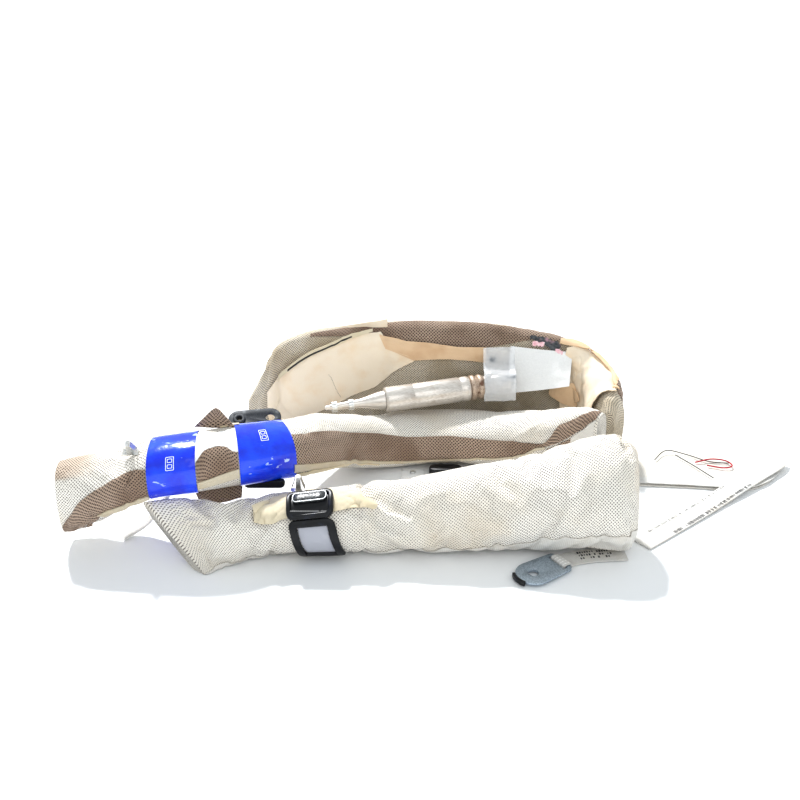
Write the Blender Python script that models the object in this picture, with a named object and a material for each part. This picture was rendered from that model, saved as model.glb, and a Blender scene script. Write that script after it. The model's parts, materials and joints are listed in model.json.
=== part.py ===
"""A curtain airbag module, taken out of a car and folded up in three runs for storage.

The rolled cushion lies in its mesh sleeve as a front run, a middle run and a rear run. The gas inflator
lies between the middle and the rear run. A tether with a steel anchor plate leaves the right end.
Metres, +Z up. The module stands on Z = 0, its length runs along X and its front faces -Y.
"""

import math
from collections import namedtuple

import bmesh
import bpy
from mathutils import Matrix, Vector

# ---------------------------------------------------------------- driving dimensions
MODULE_LENGTH = 0.804  # folded length along X
MODULE_DEPTH = 0.374  # folded depth along Y
SLEEVE_WALL = 0.0012  # mesh sleeve round the rolled cushion
FIT = 0.0004  # clearance between pieces that touch
CORE_FIT = 0.001  # clearance between the rolled cushion and its sleeve

TAPE_WIDTH = 0.048
TAPE_THICK = 0.0004

INFLATOR_D = 0.030
INFLATOR_WALL = 0.0022
INFLATOR_LENGTH = 0.104
CRIMP_LENGTH = 0.016
CAP_D = 0.025
CAP_LENGTH = 0.034
LANCE_LENGTH = 0.072
LANCE_D = 0.010

WEBBING_WIDTH = 0.024
WEBBING_THICK = 0.0016
ANCHOR_WEBBING_WIDTH = 0.022  # a little narrower where it is sewn round the plate

ANCHOR_WIDTH = 0.037
ANCHOR_THICK = 0.0025
ANCHOR_HOLE_D = 0.0105
ANCHOR_SLOT_WIDTH = 0.0045
ANCHOR_SLOT_X = 0.032  # from the hole to the slot
ANCHOR_RAIL = 0.004  # steel left beside each end of the slot
ANCHOR_BAR = 0.005  # steel left between the slot and the end of the plate

CLIP_HEIGHT = 0.018
CLIP_DEPTH = 0.007
BARB_THICK = 0.0008
END_CLIP_LEAN = 30  # degrees, as the roll's left end is twisted to the front

BRACKET_WIDTH = 0.024
BRACKET_THICK = 0.003
BRACKET_HOLE_D = 0.0105
BRACKET_PITCH = 0.034  # between its two holes

# ---------------------------------------------------------------- layout
ORIGIN = Vector((0.0050, 0.0071, 0.0))  # middle of the base in the layout's own coordinates
STRETCH_X = MODULE_LENGTH / 0.804
STRETCH_Y = MODULE_DEPTH / 0.374
ROLL_SIDES = 16
STEPS = 2  # rings from one station of a run to the next
BOXY = 0.82  # below 1 fills out the corners of a roll's section
UP = Vector((0, 0, 1))

Section = namedtuple("Section", "x y z turn lean tall thick")


def place(x, y, z):
    return Vector((x * STRETCH_X, y * STRETCH_Y, z)) - ORIGIN


def beside_tape(centre, side):
    """Layout x of a tape's edge, so that the run has a ring exactly there."""
    return centre + side * TAPE_WIDTH / 2 / STRETCH_X


TAPE_1_X = -0.278
TAPE_2_X = -0.192

# A station: x, y, z of the middle, turn of the run and lean of the roll in degrees, height, thickness
FRONT_RUN = (
    Section(-0.276, -0.136, 0.027, 55, 52, 0.100, 0.014),
    Section(-0.240, -0.127, 0.028, 24, 32, 0.074, 0.038),
    Section(-0.205, -0.116, 0.027, 8, 16, 0.060, 0.060),
    Section(-0.160, -0.106, 0.029, 2, 12, 0.060, 0.068),
    Section(-0.110, -0.103, 0.031, 2, 14, 0.064, 0.072),
    Section(-0.050, -0.099, 0.034, 3, 16, 0.070, 0.074),
    Section(0.010, -0.096, 0.038, 3, 19, 0.078, 0.078),
    Section(0.070, -0.093, 0.043, 3, 25, 0.089, 0.086),
    Section(0.122, -0.093, 0.052, 2, 29, 0.103, 0.090),
    Section(0.163, -0.095, 0.058, 0, 30, 0.115, 0.088),
    Section(0.186, -0.096, 0.058, 0, 29, 0.113, 0.078),
    Section(0.200, -0.093, 0.058, 0, 25, 0.092, 0.046),
)
MIDDLE_RUN = (
    Section(-0.397, -0.094, 0.053, 0, 0, 0.080, 0.046),
    Section(-0.372, -0.092, 0.0585, 2, 0, 0.075, 0.064),
    Section(-0.336, -0.089, 0.070, 2, 0, 0.060, 0.068),
    Section(beside_tape(TAPE_1_X, -1), -0.087, 0.0835, 2, 0, 0.0555, 0.067),
    Section(beside_tape(TAPE_1_X, +1), -0.083, 0.089, 4, 0, 0.056, 0.067),
    Section(beside_tape(TAPE_2_X, -1), -0.070, 0.089, 12, 0, 0.057, 0.066),
    Section(beside_tape(TAPE_2_X, +1), -0.038, 0.079, 24, 0, 0.056, 0.066),
    Section(-0.132, 0.017, 0.058, 34, 0, 0.055, 0.070),
    Section(-0.090, 0.058, 0.037, 26, 0, 0.054, 0.072),
    Section(-0.040, 0.083, 0.028, 8, 0, 0.053, 0.072),
    Section(0.020, 0.087, 0.028, 0, 0, 0.053, 0.072),
    Section(0.075, 0.083, 0.030, -4, 0, 0.056, 0.068),
    Section(0.122, 0.068, 0.038, -22, 0, 0.060, 0.058),
    Section(0.164, 0.040, 0.055, -34, -6, 0.064, 0.044),
    Section(0.184, 0.026, 0.065, -36, -8, 0.046, 0.024),
)
REAR_RUN = (
    Section(-0.236, 0.168, 0.018, 0, 0, 0.030, 0.014),
    Section(-0.217, 0.169, 0.033, 0, 0, 0.066, 0.026),
    Section(-0.187, 0.170, 0.054, 0, 0, 0.108, 0.036),
    Section(-0.125, 0.171, 0.063, 0, 0, 0.126, 0.042),
    Section(-0.045, 0.172, 0.067, 0, 0, 0.134, 0.044),
    Section(0.035, 0.172, 0.067, 0, 0, 0.134, 0.044),
    Section(0.110, 0.170, 0.063, -4, 0, 0.126, 0.042),
    Section(0.162, 0.159, 0.058, -24, 0, 0.115, 0.038),
    Section(0.194, 0.132, 0.052, -60, 0, 0.104, 0.036),
    Section(0.204, 0.098, 0.048, -86, 0, 0.094, 0.034),
    Section(0.200, 0.066, 0.045, -104, 0, 0.082, 0.028),
    Section(0.196, 0.054, 0.044, -110, 0, 0.060, 0.016),
)


# ---------------------------------------------------------------- materials
def material(name, colour, roughness, metallic=0.0):
    made = bpy.data.materials.get(name) or bpy.data.materials.new(name)
    made.use_nodes = True
    shader = made.node_tree.nodes["Principled BSDF"]
    shader.inputs["Base Color"].default_value = (*colour, 1.0)
    shader.inputs["Roughness"].default_value = roughness
    shader.inputs["Metallic"].default_value = metallic
    return made


SLEEVE_MESH = ("sleeve_mesh", (0.83, 0.80, 0.74), 0.85)
BROWN_MESH = ("brown_mesh", (0.26, 0.18, 0.12), 0.85)
COATED_FABRIC = ("coated_fabric", (0.86, 0.70, 0.52), 0.60)
WEBBING = ("webbing", (0.86, 0.85, 0.83), 0.75)
BLUE_TAPE = ("blue_tape", (0.00, 0.07, 0.75), 0.25)
PAPER = ("paper", (0.88, 0.87, 0.86), 0.60)
CLEAR_FILM = ("clear_film", (0.86, 0.87, 0.88), 0.10)
ZINC_STEEL = ("zinc_steel", (0.50, 0.53, 0.57), 0.35, 1.0)
TUBE_STEEL = ("tube_steel", (0.56, 0.54, 0.51), 0.32, 1.0)
SPRING_STEEL = ("spring_steel", (0.52, 0.52, 0.52), 0.30, 1.0)
GREY_STEEL = ("grey_steel", (0.17, 0.18, 0.19), 0.45, 1.0)
BLACK_PLASTIC = ("black_plastic", (0.02, 0.02, 0.022), 0.50)
GREY_FOAM = ("grey_foam", (0.22, 0.22, 0.22), 0.90)


# ---------------------------------------------------------------- mesh helpers
def clear_scene():
    for obj in list(bpy.data.objects):
        bpy.data.objects.remove(obj)


def add_object(name, bm, finish, pivot=None):
    """Turns a bmesh into a named object whose origin is at pivot."""
    bmesh.ops.recalc_face_normals(bm, faces=bm.faces)
    if pivot is not None:
        bmesh.ops.translate(bm, verts=bm.verts, vec=-pivot)
    mesh = bpy.data.meshes.new(name)
    bm.to_mesh(mesh)
    bm.free()
    mesh.materials.append(material(*finish))
    mesh.shade_smooth()
    mesh.set_sharp_from_angle(angle=math.radians(35))
    obj = bpy.data.objects.new(name, mesh)
    obj.location = pivot if pivot is not None else (0, 0, 0)
    bpy.context.scene.collection.objects.link(obj)
    return obj


def bridge(bm, ring_a, ring_b):
    count = len(ring_a)
    for k in range(count):
        n = (k + 1) % count
        bm.faces.new((ring_a[k], ring_a[n], ring_b[n], ring_b[k]))


def from_rings(name, rings, finish, hollow=False, pivot=None):
    """Joins rings of points. A hollow body's last ring joins its first, any other gets flat ends."""
    bm = bmesh.new()
    made = [[bm.verts.new(point) for point in ring] for ring in rings]
    for ring_a, ring_b in zip(made, made[1:]):
        bridge(bm, ring_a, ring_b)
    if hollow:
        bridge(bm, made[-1], made[0])
    else:
        bm.faces.new(made[0])
        bm.faces.new(made[-1])
    return add_object(name, bm, finish, pivot)


def slab(name, lower, upper, finish, gaps=(), pivot=None):
    """A sheet between two grids of points, without the cells named in gaps."""
    rows = len(lower)
    columns = len(lower[0])
    cells = {(i, j) for i in range(rows - 1) for j in range(columns - 1)} - set(gaps)
    bm = bmesh.new()
    below = {}
    above = {}
    for i, j in sorted(cells):
        for corner in ((i, j), (i + 1, j), (i + 1, j + 1), (i, j + 1)):
            if corner not in below:
                below[corner] = bm.verts.new(lower[corner[0]][corner[1]])
                above[corner] = bm.verts.new(upper[corner[0]][corner[1]])
    for i, j in sorted(cells):
        corners = ((i, j), (i + 1, j), (i + 1, j + 1), (i, j + 1))
        bm.faces.new([above[c] for c in corners])
        bm.faces.new([below[c] for c in reversed(corners)])
        beyond = ((i, j - 1), (i + 1, j), (i, j + 1), (i - 1, j))
        for side, neighbour in enumerate(beyond):
            if neighbour in cells:
                continue
            a = corners[side]
            b = corners[(side + 1) % 4]
            bm.faces.new((below[a], below[b], above[b], above[a]))
    return add_object(name, bm, finish, pivot)


def prism(name, outline, low, high, matrix, finish, pivot=None):
    """Extrudes a flat outline along its own Z from low to high."""
    rings = [[matrix @ Vector((x, y, level)) for x, y in outline] for level in (low, high)]
    return from_rings(name, rings, finish, pivot=pivot)


def turned(name, profile, matrix, finish, hollow=False, sides=24, pivot=None):
    """Turns a profile of (distance along, radius) about the matrix's X axis."""
    rings = []
    for along, radius in profile:
        ring = []
        for k in range(sides):
            angle = 2 * math.pi * k / sides
            ring.append(matrix @ Vector((along, radius * math.cos(angle), radius * math.sin(angle))))
        rings.append(ring)
    return from_rings(name, rings, finish, hollow=hollow, pivot=pivot)


def arc(centre_x, centre_y, radius, start, end, steps):
    points = []
    for k in range(steps + 1):
        angle = math.radians(start + (end - start) * k / steps)
        points.append((centre_x + radius * math.cos(angle), centre_y + radius * math.sin(angle)))
    return points


def cut(obj, outline, low, high, matrix):
    """Cuts a prism out of an object that has its origin at the world's."""
    cutter = prism(obj.name + "_cutter", outline, low, high, matrix, GREY_FOAM)
    cutter.hide_render = True
    cutter.display_type = "WIRE"
    boolean = obj.modifiers.new("cut", "BOOLEAN")
    boolean.operation = "DIFFERENCE"
    boolean.solver = "EXACT"
    boolean.object = cutter


# ---------------------------------------------------------------- rolls
def blend(before, a, b, after, t):
    """Catmull-Rom value between a and b."""
    slope_a = (b - before) / 2
    slope_b = (after - a) / 2
    square = t * t
    cube = square * t
    return (
        (2 * cube - 3 * square + 1) * a
        + (cube - 2 * square + t) * slope_a
        + (3 * square - 2 * cube) * b
        + (cube - square) * slope_b
    )


def section_at(stations, index):
    """The roll's section at a station number, which may lie between two stations."""
    last = len(stations) - 1
    i = min(int(index), last - 1)
    picked = [stations[max(0, min(last, i + k))] for k in (-1, 0, 1, 2)]
    values = [blend(*four, index - i) for four in zip(*picked)]
    return Section(*values)


def station_at_x(stations, x):
    """The station number at layout x, on a run whose x only rises."""
    low = 0.0
    high = len(stations) - 1.0
    for _ in range(40):
        middle = (low + high) / 2
        if section_at(stations, middle).x < x:
            low = middle
        else:
            high = middle
    return low


def skin_point(section, angle, lift=0.0):
    """A point on a roll's outside: angle 0 is its back, 90 its top, 180 its front, 270 its base."""
    turn = math.radians(section.turn)
    lean = math.radians(section.lean)
    across = Vector((-math.sin(turn), math.cos(turn), 0))
    tall_way = math.cos(lean) * UP + math.sin(lean) * across
    thick_way = math.cos(lean) * across - math.sin(lean) * UP
    cosine = math.cos(math.radians(angle))
    sine = math.sin(math.radians(angle))
    wide = math.copysign(abs(cosine) ** BOXY, cosine) * (section.thick / 2 + lift)
    high = math.copysign(abs(sine) ** BOXY, sine) * (section.tall / 2 + lift)
    point = place(section.x, section.y, section.z) + thick_way * wide + tall_way * high
    point.z = max(point.z, -min(lift, 0.0))
    return point


def skin_ring(section, lift=0.0):
    return [skin_point(section, 360 * k / ROLL_SIDES, lift) for k in range(ROLL_SIDES)]


def run_sections(stations, first=0, last=None):
    last = len(stations) - 1 if last is None else last
    count = round((last - first) * STEPS)
    return [section_at(stations, first + k / STEPS) for k in range(count + 1)]


def add_run(name, stations):
    """One run of the roll: an open-ended mesh sleeve with the rolled cushion inside it."""
    sections = run_sections(stations)
    outside = [skin_ring(section) for section in sections]
    inside = [skin_ring(section, -SLEEVE_WALL) for section in reversed(sections)]
    from_rings(name + "_sleeve", outside + inside, SLEEVE_MESH, hollow=True)
    core = [skin_ring(section, -SLEEVE_WALL - CORE_FIT) for section in sections[2:-1]]
    from_rings(name + "_cushion", core, COATED_FABRIC)


def band_on(name, stations, first, last, lift, thick, finish):
    """A closed band wound round a roll."""
    sections = run_sections(stations, first, last)
    outside = [skin_ring(section, lift + thick) for section in sections]
    inside = [skin_ring(section, lift) for section in reversed(sections)]
    return from_rings(name, outside + inside, finish, hollow=True)


def strip_on(name, sections, angles, lift, thick, finish, gaps=(), pivot=None):
    """A sheet that lies on a roll, from section to section and from angle to angle."""
    lower = [[skin_point(section, angle, lift) for angle in angles] for section in sections]
    upper = [[skin_point(section, angle, lift + thick) for angle in angles] for section in sections]
    return slab(name, lower, upper, finish, gaps, pivot)


def steps_between(first, last, count):
    return [first + (last - first) * k / count for k in range(count + 1)]


def ring_angles(first, last):
    """Angles of the run's own ring points, counted in points from the back over the top."""
    return [360 * k / ROLL_SIDES for k in range(first, last + 1)]


# ---------------------------------------------------------------- fabric on the runs
def add_mesh_strips():
    """Brown mesh strips sewn along the sleeve, each between two stations of its run."""
    front = ring_angles(6, 10)
    strip_on("middle_brown_strip", run_sections(MIDDLE_RUN, 6.5, 13.5), front, FIT, 0.0008, BROWN_MESH)
    strip_on("left_end_brown_strip", run_sections(MIDDLE_RUN, 0.5, 2.5), front, 2 * FIT, 0.0008, BROWN_MESH)
    gap = sections_between_tapes()
    strip_on("tape_gap_brown_strip", gap, front, FIT, 0.0008, BROWN_MESH)
    top = run_sections(REAR_RUN, 1, 10.5)
    strip_on("rear_brown_strip", top, ring_angles(3, 6), FIT, 0.0008, BROWN_MESH)


def sections_between_tapes():
    return [section_at(MIDDLE_RUN, s) for s in (4.1, 4.5, 4.9)]


def add_tapes():
    band_on("blue_tape_left", MIDDLE_RUN, 3, 4, FIT, TAPE_THICK, BLUE_TAPE)
    band_on("blue_tape_right", MIDDLE_RUN, 5, 6, FIT, TAPE_THICK, BLUE_TAPE)
    strip_on("paper_patch", sections_between_tapes(), (100, 112, 124, 131), FIT, TAPE_THICK, PAPER)


def add_rear_panels():
    """Cushion fabric that hangs in front of the rear run, and the label beside the inflator."""
    front = ring_angles(7, 9)
    lift = 0.0016
    strip_on("cushion_flap", run_sections(REAR_RUN, 1.5, 4.5), front, lift, 0.0016, COATED_FABRIC)
    throat = [section_at(REAR_RUN, s) for s in (4.6, 5, 5.2)]
    strip_on("cushion_throat", throat, front, lift, 0.0016, COATED_FABRIC)
    card = [section_at(REAR_RUN, s) for s in (5.3, 5.5, 6, 6.5, 7)]
    strip_on("label_card", card, ring_angles(6, 9), lift, 0.0010, PAPER)
    strip_on("gathered_fabric", run_sections(REAR_RUN, 7.5, 9.5), front, lift, 0.0040, COATED_FABRIC)


def add_clear_film():
    """The clear end of the label's pouch, which hangs over the inflator's cap."""
    side_view = [
        (0.1435, 0.116), (0.138, 0.101), (0.129, 0.0935), (0.116, 0.0905), (0.1080, 0.080), (0.1070, 0.062),
    ]
    lower = [[place(x, y, z) for y, z in side_view] for x in (0.059, 0.092)]
    lift = Vector((0, -0.0002, 0.0003))
    upper = [[point + lift for point in row] for row in lower]
    slab("clear_film", lower, upper, CLEAR_FILM)


def add_corner_tabs():
    """A loose mesh corner behind the tapes, a cream tab on the rear run and a strap below the left end."""
    corner = [(-0.020, 0.0), (0.022, 0.0), (0.004, 0.020)]
    behind = skin_point(section_at(MIDDLE_RUN, 4.4), 60, 0.0030)
    upright = Matrix.Translation(behind) @ Matrix.Rotation(math.radians(90), 4, "X")
    prism("mesh_corner", corner, -0.0008, 0.0, upright, BROWN_MESH)
    peak = skin_point(section_at(REAR_RUN, 3.4), 90, 0.0028)
    tab = [(-0.030, 0.0), (0.034, 0.0), (0.034, 0.011), (0.022, 0.011)]
    prism("cream_tab", tab, 0.004, 0.0052, Matrix.Translation(peak) @ Matrix.Rotation(math.radians(90), 4, "X"),
          COATED_FABRIC)


# ---------------------------------------------------------------- inflator
def inflator_axis():
    """The inflator's own frame: X runs from the lance to the initiator, from the tube's left end."""
    left = place(-0.063, 0.093, 0.071)
    right = place(0.089, 0.128, 0.077)
    along = (right - left).normalized()
    across = UP.cross(along).normalized()
    upward = along.cross(across)
    matrix = Matrix((along, across, upward)).transposed().to_4x4()
    return Matrix.Translation(left) @ matrix


def add_inflator():
    axis = inflator_axis()
    radius = INFLATOR_D / 2
    bore = radius - INFLATOR_WALL
    end = INFLATOR_LENGTH
    mouth = bore - 0.002
    tube = [
        (0.0, mouth), (0.0, radius - 0.002), (0.003, radius), (end - 0.004, radius), (end, radius - 0.002),
        (end, bore), (0.003, bore), (0.003, mouth),
    ]
    turned("inflator_tube", tube, axis, TUBE_STEEL, hollow=True)
    disc = [(0.006, bore - FIT), (0.007, bore - FIT)]
    turned("burst_disc", disc, axis, TUBE_STEEL)
    screen = [(0.012, bore - FIT - 0.001), (0.012, bore - FIT), (0.030, bore - FIT), (0.030, bore - FIT - 0.001)]
    turned("filter_screen", screen, axis, SPRING_STEEL, hollow=True)
    charge = [(0.034, bore - 0.0015), (0.035, bore - FIT), (end - 0.004, bore - FIT), (end - 0.003, bore - 0.0015)]
    turned("gas_charge", charge, axis, GREY_FOAM)
    add_inflator_head(axis, radius, end + FIT)
    add_lance(axis)


def add_inflator_head(axis, radius, start):
    """Crimp ring, end cap, initiator and its shorting clip."""
    ring_bore = radius - 0.007
    end = start + CRIMP_LENGTH
    crimp = [
        (start, ring_bore), (start, radius - 0.0015), (start + 0.002, radius), (start + 0.005, radius),
        (start + 0.007, radius - 0.0022), (start + 0.009, radius - 0.0022), (start + 0.011, radius),
        (end - 0.002, radius), (end, radius - 0.0015), (end, ring_bore),
    ]
    turned("crimp_ring", crimp, axis, TUBE_STEEL, hollow=True)
    cap_start = end + FIT
    cap_end = cap_start + CAP_LENGTH
    cap_radius = CAP_D / 2
    socket = 0.0055
    cap = [
        (cap_start, socket), (cap_start, cap_radius - 0.001), (cap_start + 0.001, cap_radius),
        (cap_end - 0.002, cap_radius), (cap_end, cap_radius - 0.002), (cap_end, socket),
    ]
    turned("inflator_cap", cap, axis, TUBE_STEEL, hollow=True)
    core = socket - FIT
    initiator = [
        (start + 0.004, 0.003), (start + 0.005, core), (cap_end - 0.010, core), (cap_end - 0.009, 0.003),
    ]
    turned("initiator", initiator, axis, TUBE_STEEL)
    clip = [(cap_end - 0.008, core), (cap_end + 0.002, core), (cap_end + 0.003, core - 0.001)]
    turned("shorting_clip", clip, axis, BLACK_PLASTIC)


def add_lance(axis):
    """The tapered gas tube and the two clamps that hold the cushion's mouth to it."""
    base = INFLATOR_D / 2 - 0.003
    tip = LANCE_D / 2
    wall = 0.0012
    far = -LANCE_LENGTH
    lance = [
        (-FIT, base - wall), (-FIT, base), (-0.012, base), (-0.030, tip), (far, tip), (far, tip - wall),
        (-0.030, tip - wall), (-0.012, base - wall),
    ]
    turned("gas_lance", lance, axis, TUBE_STEEL, hollow=True)
    for side, along in (("right", -0.038), ("left", -0.058)):
        inner = tip + FIT
        clamp = [(along, inner), (along, inner + 0.001), (along - 0.006, inner + 0.001), (along - 0.006, inner)]
        turned("lance_clamp_" + side, clamp, axis, SPRING_STEEL, hollow=True, sides=24)


# ---------------------------------------------------------------- retainer on the front run
RETAINER_X = -0.138
HOUSING_WIDTH = 0.048
FRAME_WIDTH = 0.048
FRAME_LEG = 0.0095
FRAME_THICK = 0.003
BARREL_R = 0.0023
HOUSING_LIFT = 0.0030
BARREL_ANGLE = 150  # degrees round the run
FRAME_TOP_ANGLE = 159
FRAME_END_ANGLE = 228
FRAME_LEAN = 0.013  # the frame's foot is this far to the right of its top


def sections_across(stations, centre_x, offsets):
    """Sections of a run at distances along X from a layout x."""
    found = []
    for offset in offsets:
        found.append(section_at(stations, station_at_x(stations, centre_x + offset / STRETCH_X)))
    return found


def leaning_strip(name, across, angles, lift, thick, finish, gaps=(), pivot=None):
    """A sheet on the front run below the hinge, which leans to the right as it goes down."""
    lower = [[] for _ in across]
    upper = [[] for _ in across]
    for angle in angles:
        lean = FRAME_LEAN * (angle - FRAME_TOP_ANGLE) / (FRAME_END_ANGLE - FRAME_TOP_ANGLE)
        sections = sections_across(FRONT_RUN, RETAINER_X, [offset + lean for offset in across])
        for row, section in enumerate(sections):
            lower[row].append(skin_point(section, angle, lift))
            upper[row].append(skin_point(section, angle, lift + thick))
    return slab(name, lower, upper, finish, gaps, pivot)


def add_retainer():
    half = FRAME_WIDTH / 2
    tab = sections_across(FRONT_RUN, RETAINER_X, steps_between(-0.056, 0.056, 6))
    strip_on("retainer_tab", tab, steps_between(88, 144, 5), 0.0008, 0.0012, COATED_FABRIC)
    side = HOUSING_WIDTH / 2
    opening = side - 0.006
    body = sections_across(FRONT_RUN, RETAINER_X, (-side, -opening, -opening / 2, 0, opening / 2, opening, side))
    window = [(i, j) for i in range(1, 5) for j in (1, 2)]
    strip_on("retainer_housing", body, (108, 114, 124, 134, 142), HOUSING_LIFT, 0.006, BLACK_PLASTIC, window)
    pad_side = opening - 2 * FIT
    pad = sections_across(FRONT_RUN, RETAINER_X, steps_between(-pad_side, pad_side, 4))
    strip_on("window_pad", pad, (115.5, 124, 132.5), HOUSING_LIFT, 0.0035, GREY_FOAM)
    middle = sections_across(FRONT_RUN, RETAINER_X, (0,))[0]
    pivot = skin_point(middle, BARREL_ANGLE, HOUSING_LIFT + 0.0015)
    barrel = [(-half + 0.001, BARREL_R), (half - 0.001, BARREL_R)]
    turned("hinge_barrel", barrel, Matrix.Translation(pivot), BLACK_PLASTIC, sides=16)
    angles = steps_between(FRAME_TOP_ANGLE, FRAME_END_ANGLE, 8)
    gap = [(1, j) for j in range(1, 7)]
    across = (-half, -half + FRAME_LEG, half - FRAME_LEG, half)
    leaning_strip("retainer_frame", across, angles, 0.0012, FRAME_THICK, BLACK_PLASTIC, gap, pivot)
    lining_angles = steps_between(FRAME_TOP_ANGLE + 8, FRAME_END_ANGLE - 10, 5)
    leaning_strip("frame_lining", (-0.0142, -0.007, 0, 0.007, 0.0142), lining_angles, 0.0004, 0.0006, WEBBING)
    print("retainer hinge", [round(v, 5) for v in pivot])
    top = skin_point(sections_across(FRONT_RUN, RETAINER_X, (-0.012,))[0], 92, 0.0040)
    add_spring_clip("retainer", top)


def add_spring_clip(prefix, foot, lean=0):
    """A steel push-in clip: a foot plate with a post that leans to the front, and a sprung barb on each side."""
    leaning = Matrix.Translation(foot) @ Matrix.Rotation(math.radians(lean), 4, "X")
    upright = leaning @ Matrix.Rotation(math.radians(90), 4, "X")
    half = CLIP_DEPTH / 2
    post = [
        (-0.008, 0.0), (0.008, 0.0), (0.008, 0.0012), (0.0028, 0.0012), (0.0016, CLIP_HEIGHT),
        (-0.0016, CLIP_HEIGHT), (-0.0028, 0.0012), (-0.008, 0.0012),
    ]
    prism(prefix + "_clip_post", post, -half, half, upright, SPRING_STEEL)
    for side, sign in (("left", -1), ("right", 1)):
        top = CLIP_HEIGHT - 0.0008
        low = 0.0045
        inner = 0.0016 + FIT
        spread = 0.0072
        barb = [
            (sign * inner, top), (sign * (inner + BARB_THICK), top), (sign * spread, low),
            (sign * (spread - BARB_THICK), low),
        ]
        pivot = leaning @ Vector((sign * (inner + BARB_THICK / 2), 0, top))
        prism(prefix + "_clip_barb_" + side, barb, -half + 0.0006, half - 0.0006, upright, SPRING_STEEL, pivot)
        axis = leaning.to_3x3() @ Vector((0, sign, 0))
        print(prefix, side, "barb hinge", [round(v, 5) for v in pivot], [round(v, 5) for v in axis])


# ---------------------------------------------------------------- bracket behind the tapes
def add_bracket():
    """Two-hole steel bracket, hung on the rivet of its left hole."""
    radius = BRACKET_WIDTH / 2
    centre = place(-0.222, -0.002, 0.0935)
    tilt = Matrix.Translation(centre) @ Matrix.Rotation(math.radians(10), 4, "Z")
    tilt = tilt @ Matrix.Rotation(math.radians(24), 4, "X")
    pitch = BRACKET_PITCH
    outline = arc(pitch, 0, radius, -90, 90, 10) + arc(0, 0, radius, 90, 270, 10)
    plate = prism("bracket_plate", outline, 0, BRACKET_THICK, tilt, GREY_STEEL)
    for hole_x in (0.0, pitch):
        cut(plate, arc(hole_x, 0, BRACKET_HOLE_D / 2, 0, 345, 23), -0.002, BRACKET_THICK + 0.002, tilt)
    post = BRACKET_HOLE_D / 2 - FIT
    axis = tilt @ Matrix.Rotation(math.radians(-90), 4, "Y")
    head = BRACKET_THICK + FIT
    rivet = [
        (-0.0016, 0.0032), (-0.0016, post + 0.002), (-FIT, post + 0.002), (-FIT, post), (head, post),
        (head, post + 0.002), (head + 0.0014, post + 0.0014), (head + 0.0014, 0.0032),
    ]
    turned("bracket_rivet", rivet, axis, GREY_STEEL, hollow=True, sides=24)
    normal = (tilt.to_3x3() @ UP).normalized()
    print("bracket swivel", [round(v, 5) for v in centre], "axis", [round(v, 5) for v in normal])


# ---------------------------------------------------------------- tether and anchor plate
def ribbon(name, path, width, thick, finish):
    """A flat strap along a path, which is its underside's middle line."""
    lower = []
    upper = []
    for k, point in enumerate(path):
        before = path[max(k - 1, 0)]
        after = path[min(k + 1, len(path) - 1)]
        along = (after - before).normalized()
        across = UP.cross(along).normalized() * width / 2
        lower.append([point - across, point + across])
        lift = Vector((0, 0, thick))
        upper.append([point - across + lift, point + across + lift])
    return slab(name, lower, upper, finish)


def smooth_path(points, steps):
    path = []
    last = len(points) - 1
    for k in range(last * steps + 1):
        i = min(k // steps, last - 1)
        picked = [points[max(0, min(last, i + n))] for n in (-1, 0, 1, 2)]
        path.append(Vector([blend(*four, k / steps - i) for four in zip(*picked)]))
    return path


ANCHOR_ANGLE = 34
ANCHOR_LIFT = 0.0020
BEND_GAP = 0.0016  # between the loop and the rest of the webbing, where the plate swings up


def add_tether():
    outline = [
        (0.227, 0.014), (0.290, 0.008), (0.349, 0.002), (0.384, 0.024), (0.407, 0.058), (0.398, 0.072),
        (0.372, 0.090), (0.324, 0.108), (0.275, 0.115), (0.227, 0.118),
    ]
    flat = [tuple(place(x, y, 0).xy) for x, y in outline]
    prism("tether_panel", flat, 0.0, 0.003, Matrix(), WEBBING)
    panel_top = 0.003 + FIT
    strap = smooth_path([
        place(0.394, 0.050, panel_top), place(0.345, 0.008, panel_top), place(0.312, -0.020, 0.0024),
        place(0.270, -0.056, 0.0006), place(0.210, -0.106, FIT),
    ], 5)
    ribbon("tether_strap", strap, WEBBING_WIDTH, WEBBING_THICK, WEBBING)


def anchor_frame():
    """The anchor plate's own frame: X runs from its hole to its slot."""
    hole = place(0.0901, -0.1613, ANCHOR_LIFT)
    return Matrix.Translation(hole) @ Matrix.Rotation(math.radians(ANCHOR_ANGLE), 4, "Z")


def add_anchor():
    frame = anchor_frame()
    radius = ANCHOR_WIDTH / 2
    slot_length = ANCHOR_WEBBING_WIDTH + 0.003
    slot_x = ANCHOR_SLOT_X
    end_x = slot_x + ANCHOR_SLOT_WIDTH / 2 + ANCHOR_BAR
    corner = 0.005
    shoulder = slot_length / 2 + ANCHOR_RAIL
    outline = arc(0, 0, radius, 90, 270, 14)
    outline += arc(end_x - corner, -shoulder + corner, corner, -90, 0, 4)
    outline += arc(end_x - corner, shoulder - corner, corner, 0, 90, 4)
    plate = prism("anchor_plate", outline, 0, ANCHOR_THICK, frame, ZINC_STEEL)
    deep = -0.002
    high = ANCHOR_THICK + 0.002
    cut(plate, arc(0, 0, ANCHOR_HOLE_D / 2, 0, 345, 23), deep, high, frame)
    x_low = slot_x - ANCHOR_SLOT_WIDTH / 2
    x_high = slot_x + ANCHOR_SLOT_WIDTH / 2
    y_high = slot_length / 2
    slot = [(x_low, -y_high), (x_high, -y_high), (x_high, y_high), (x_low, y_high)]
    cut(plate, slot, deep, high, frame)
    add_keeper(frame, radius)
    add_webbing_loop(frame, slot_x)


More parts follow.
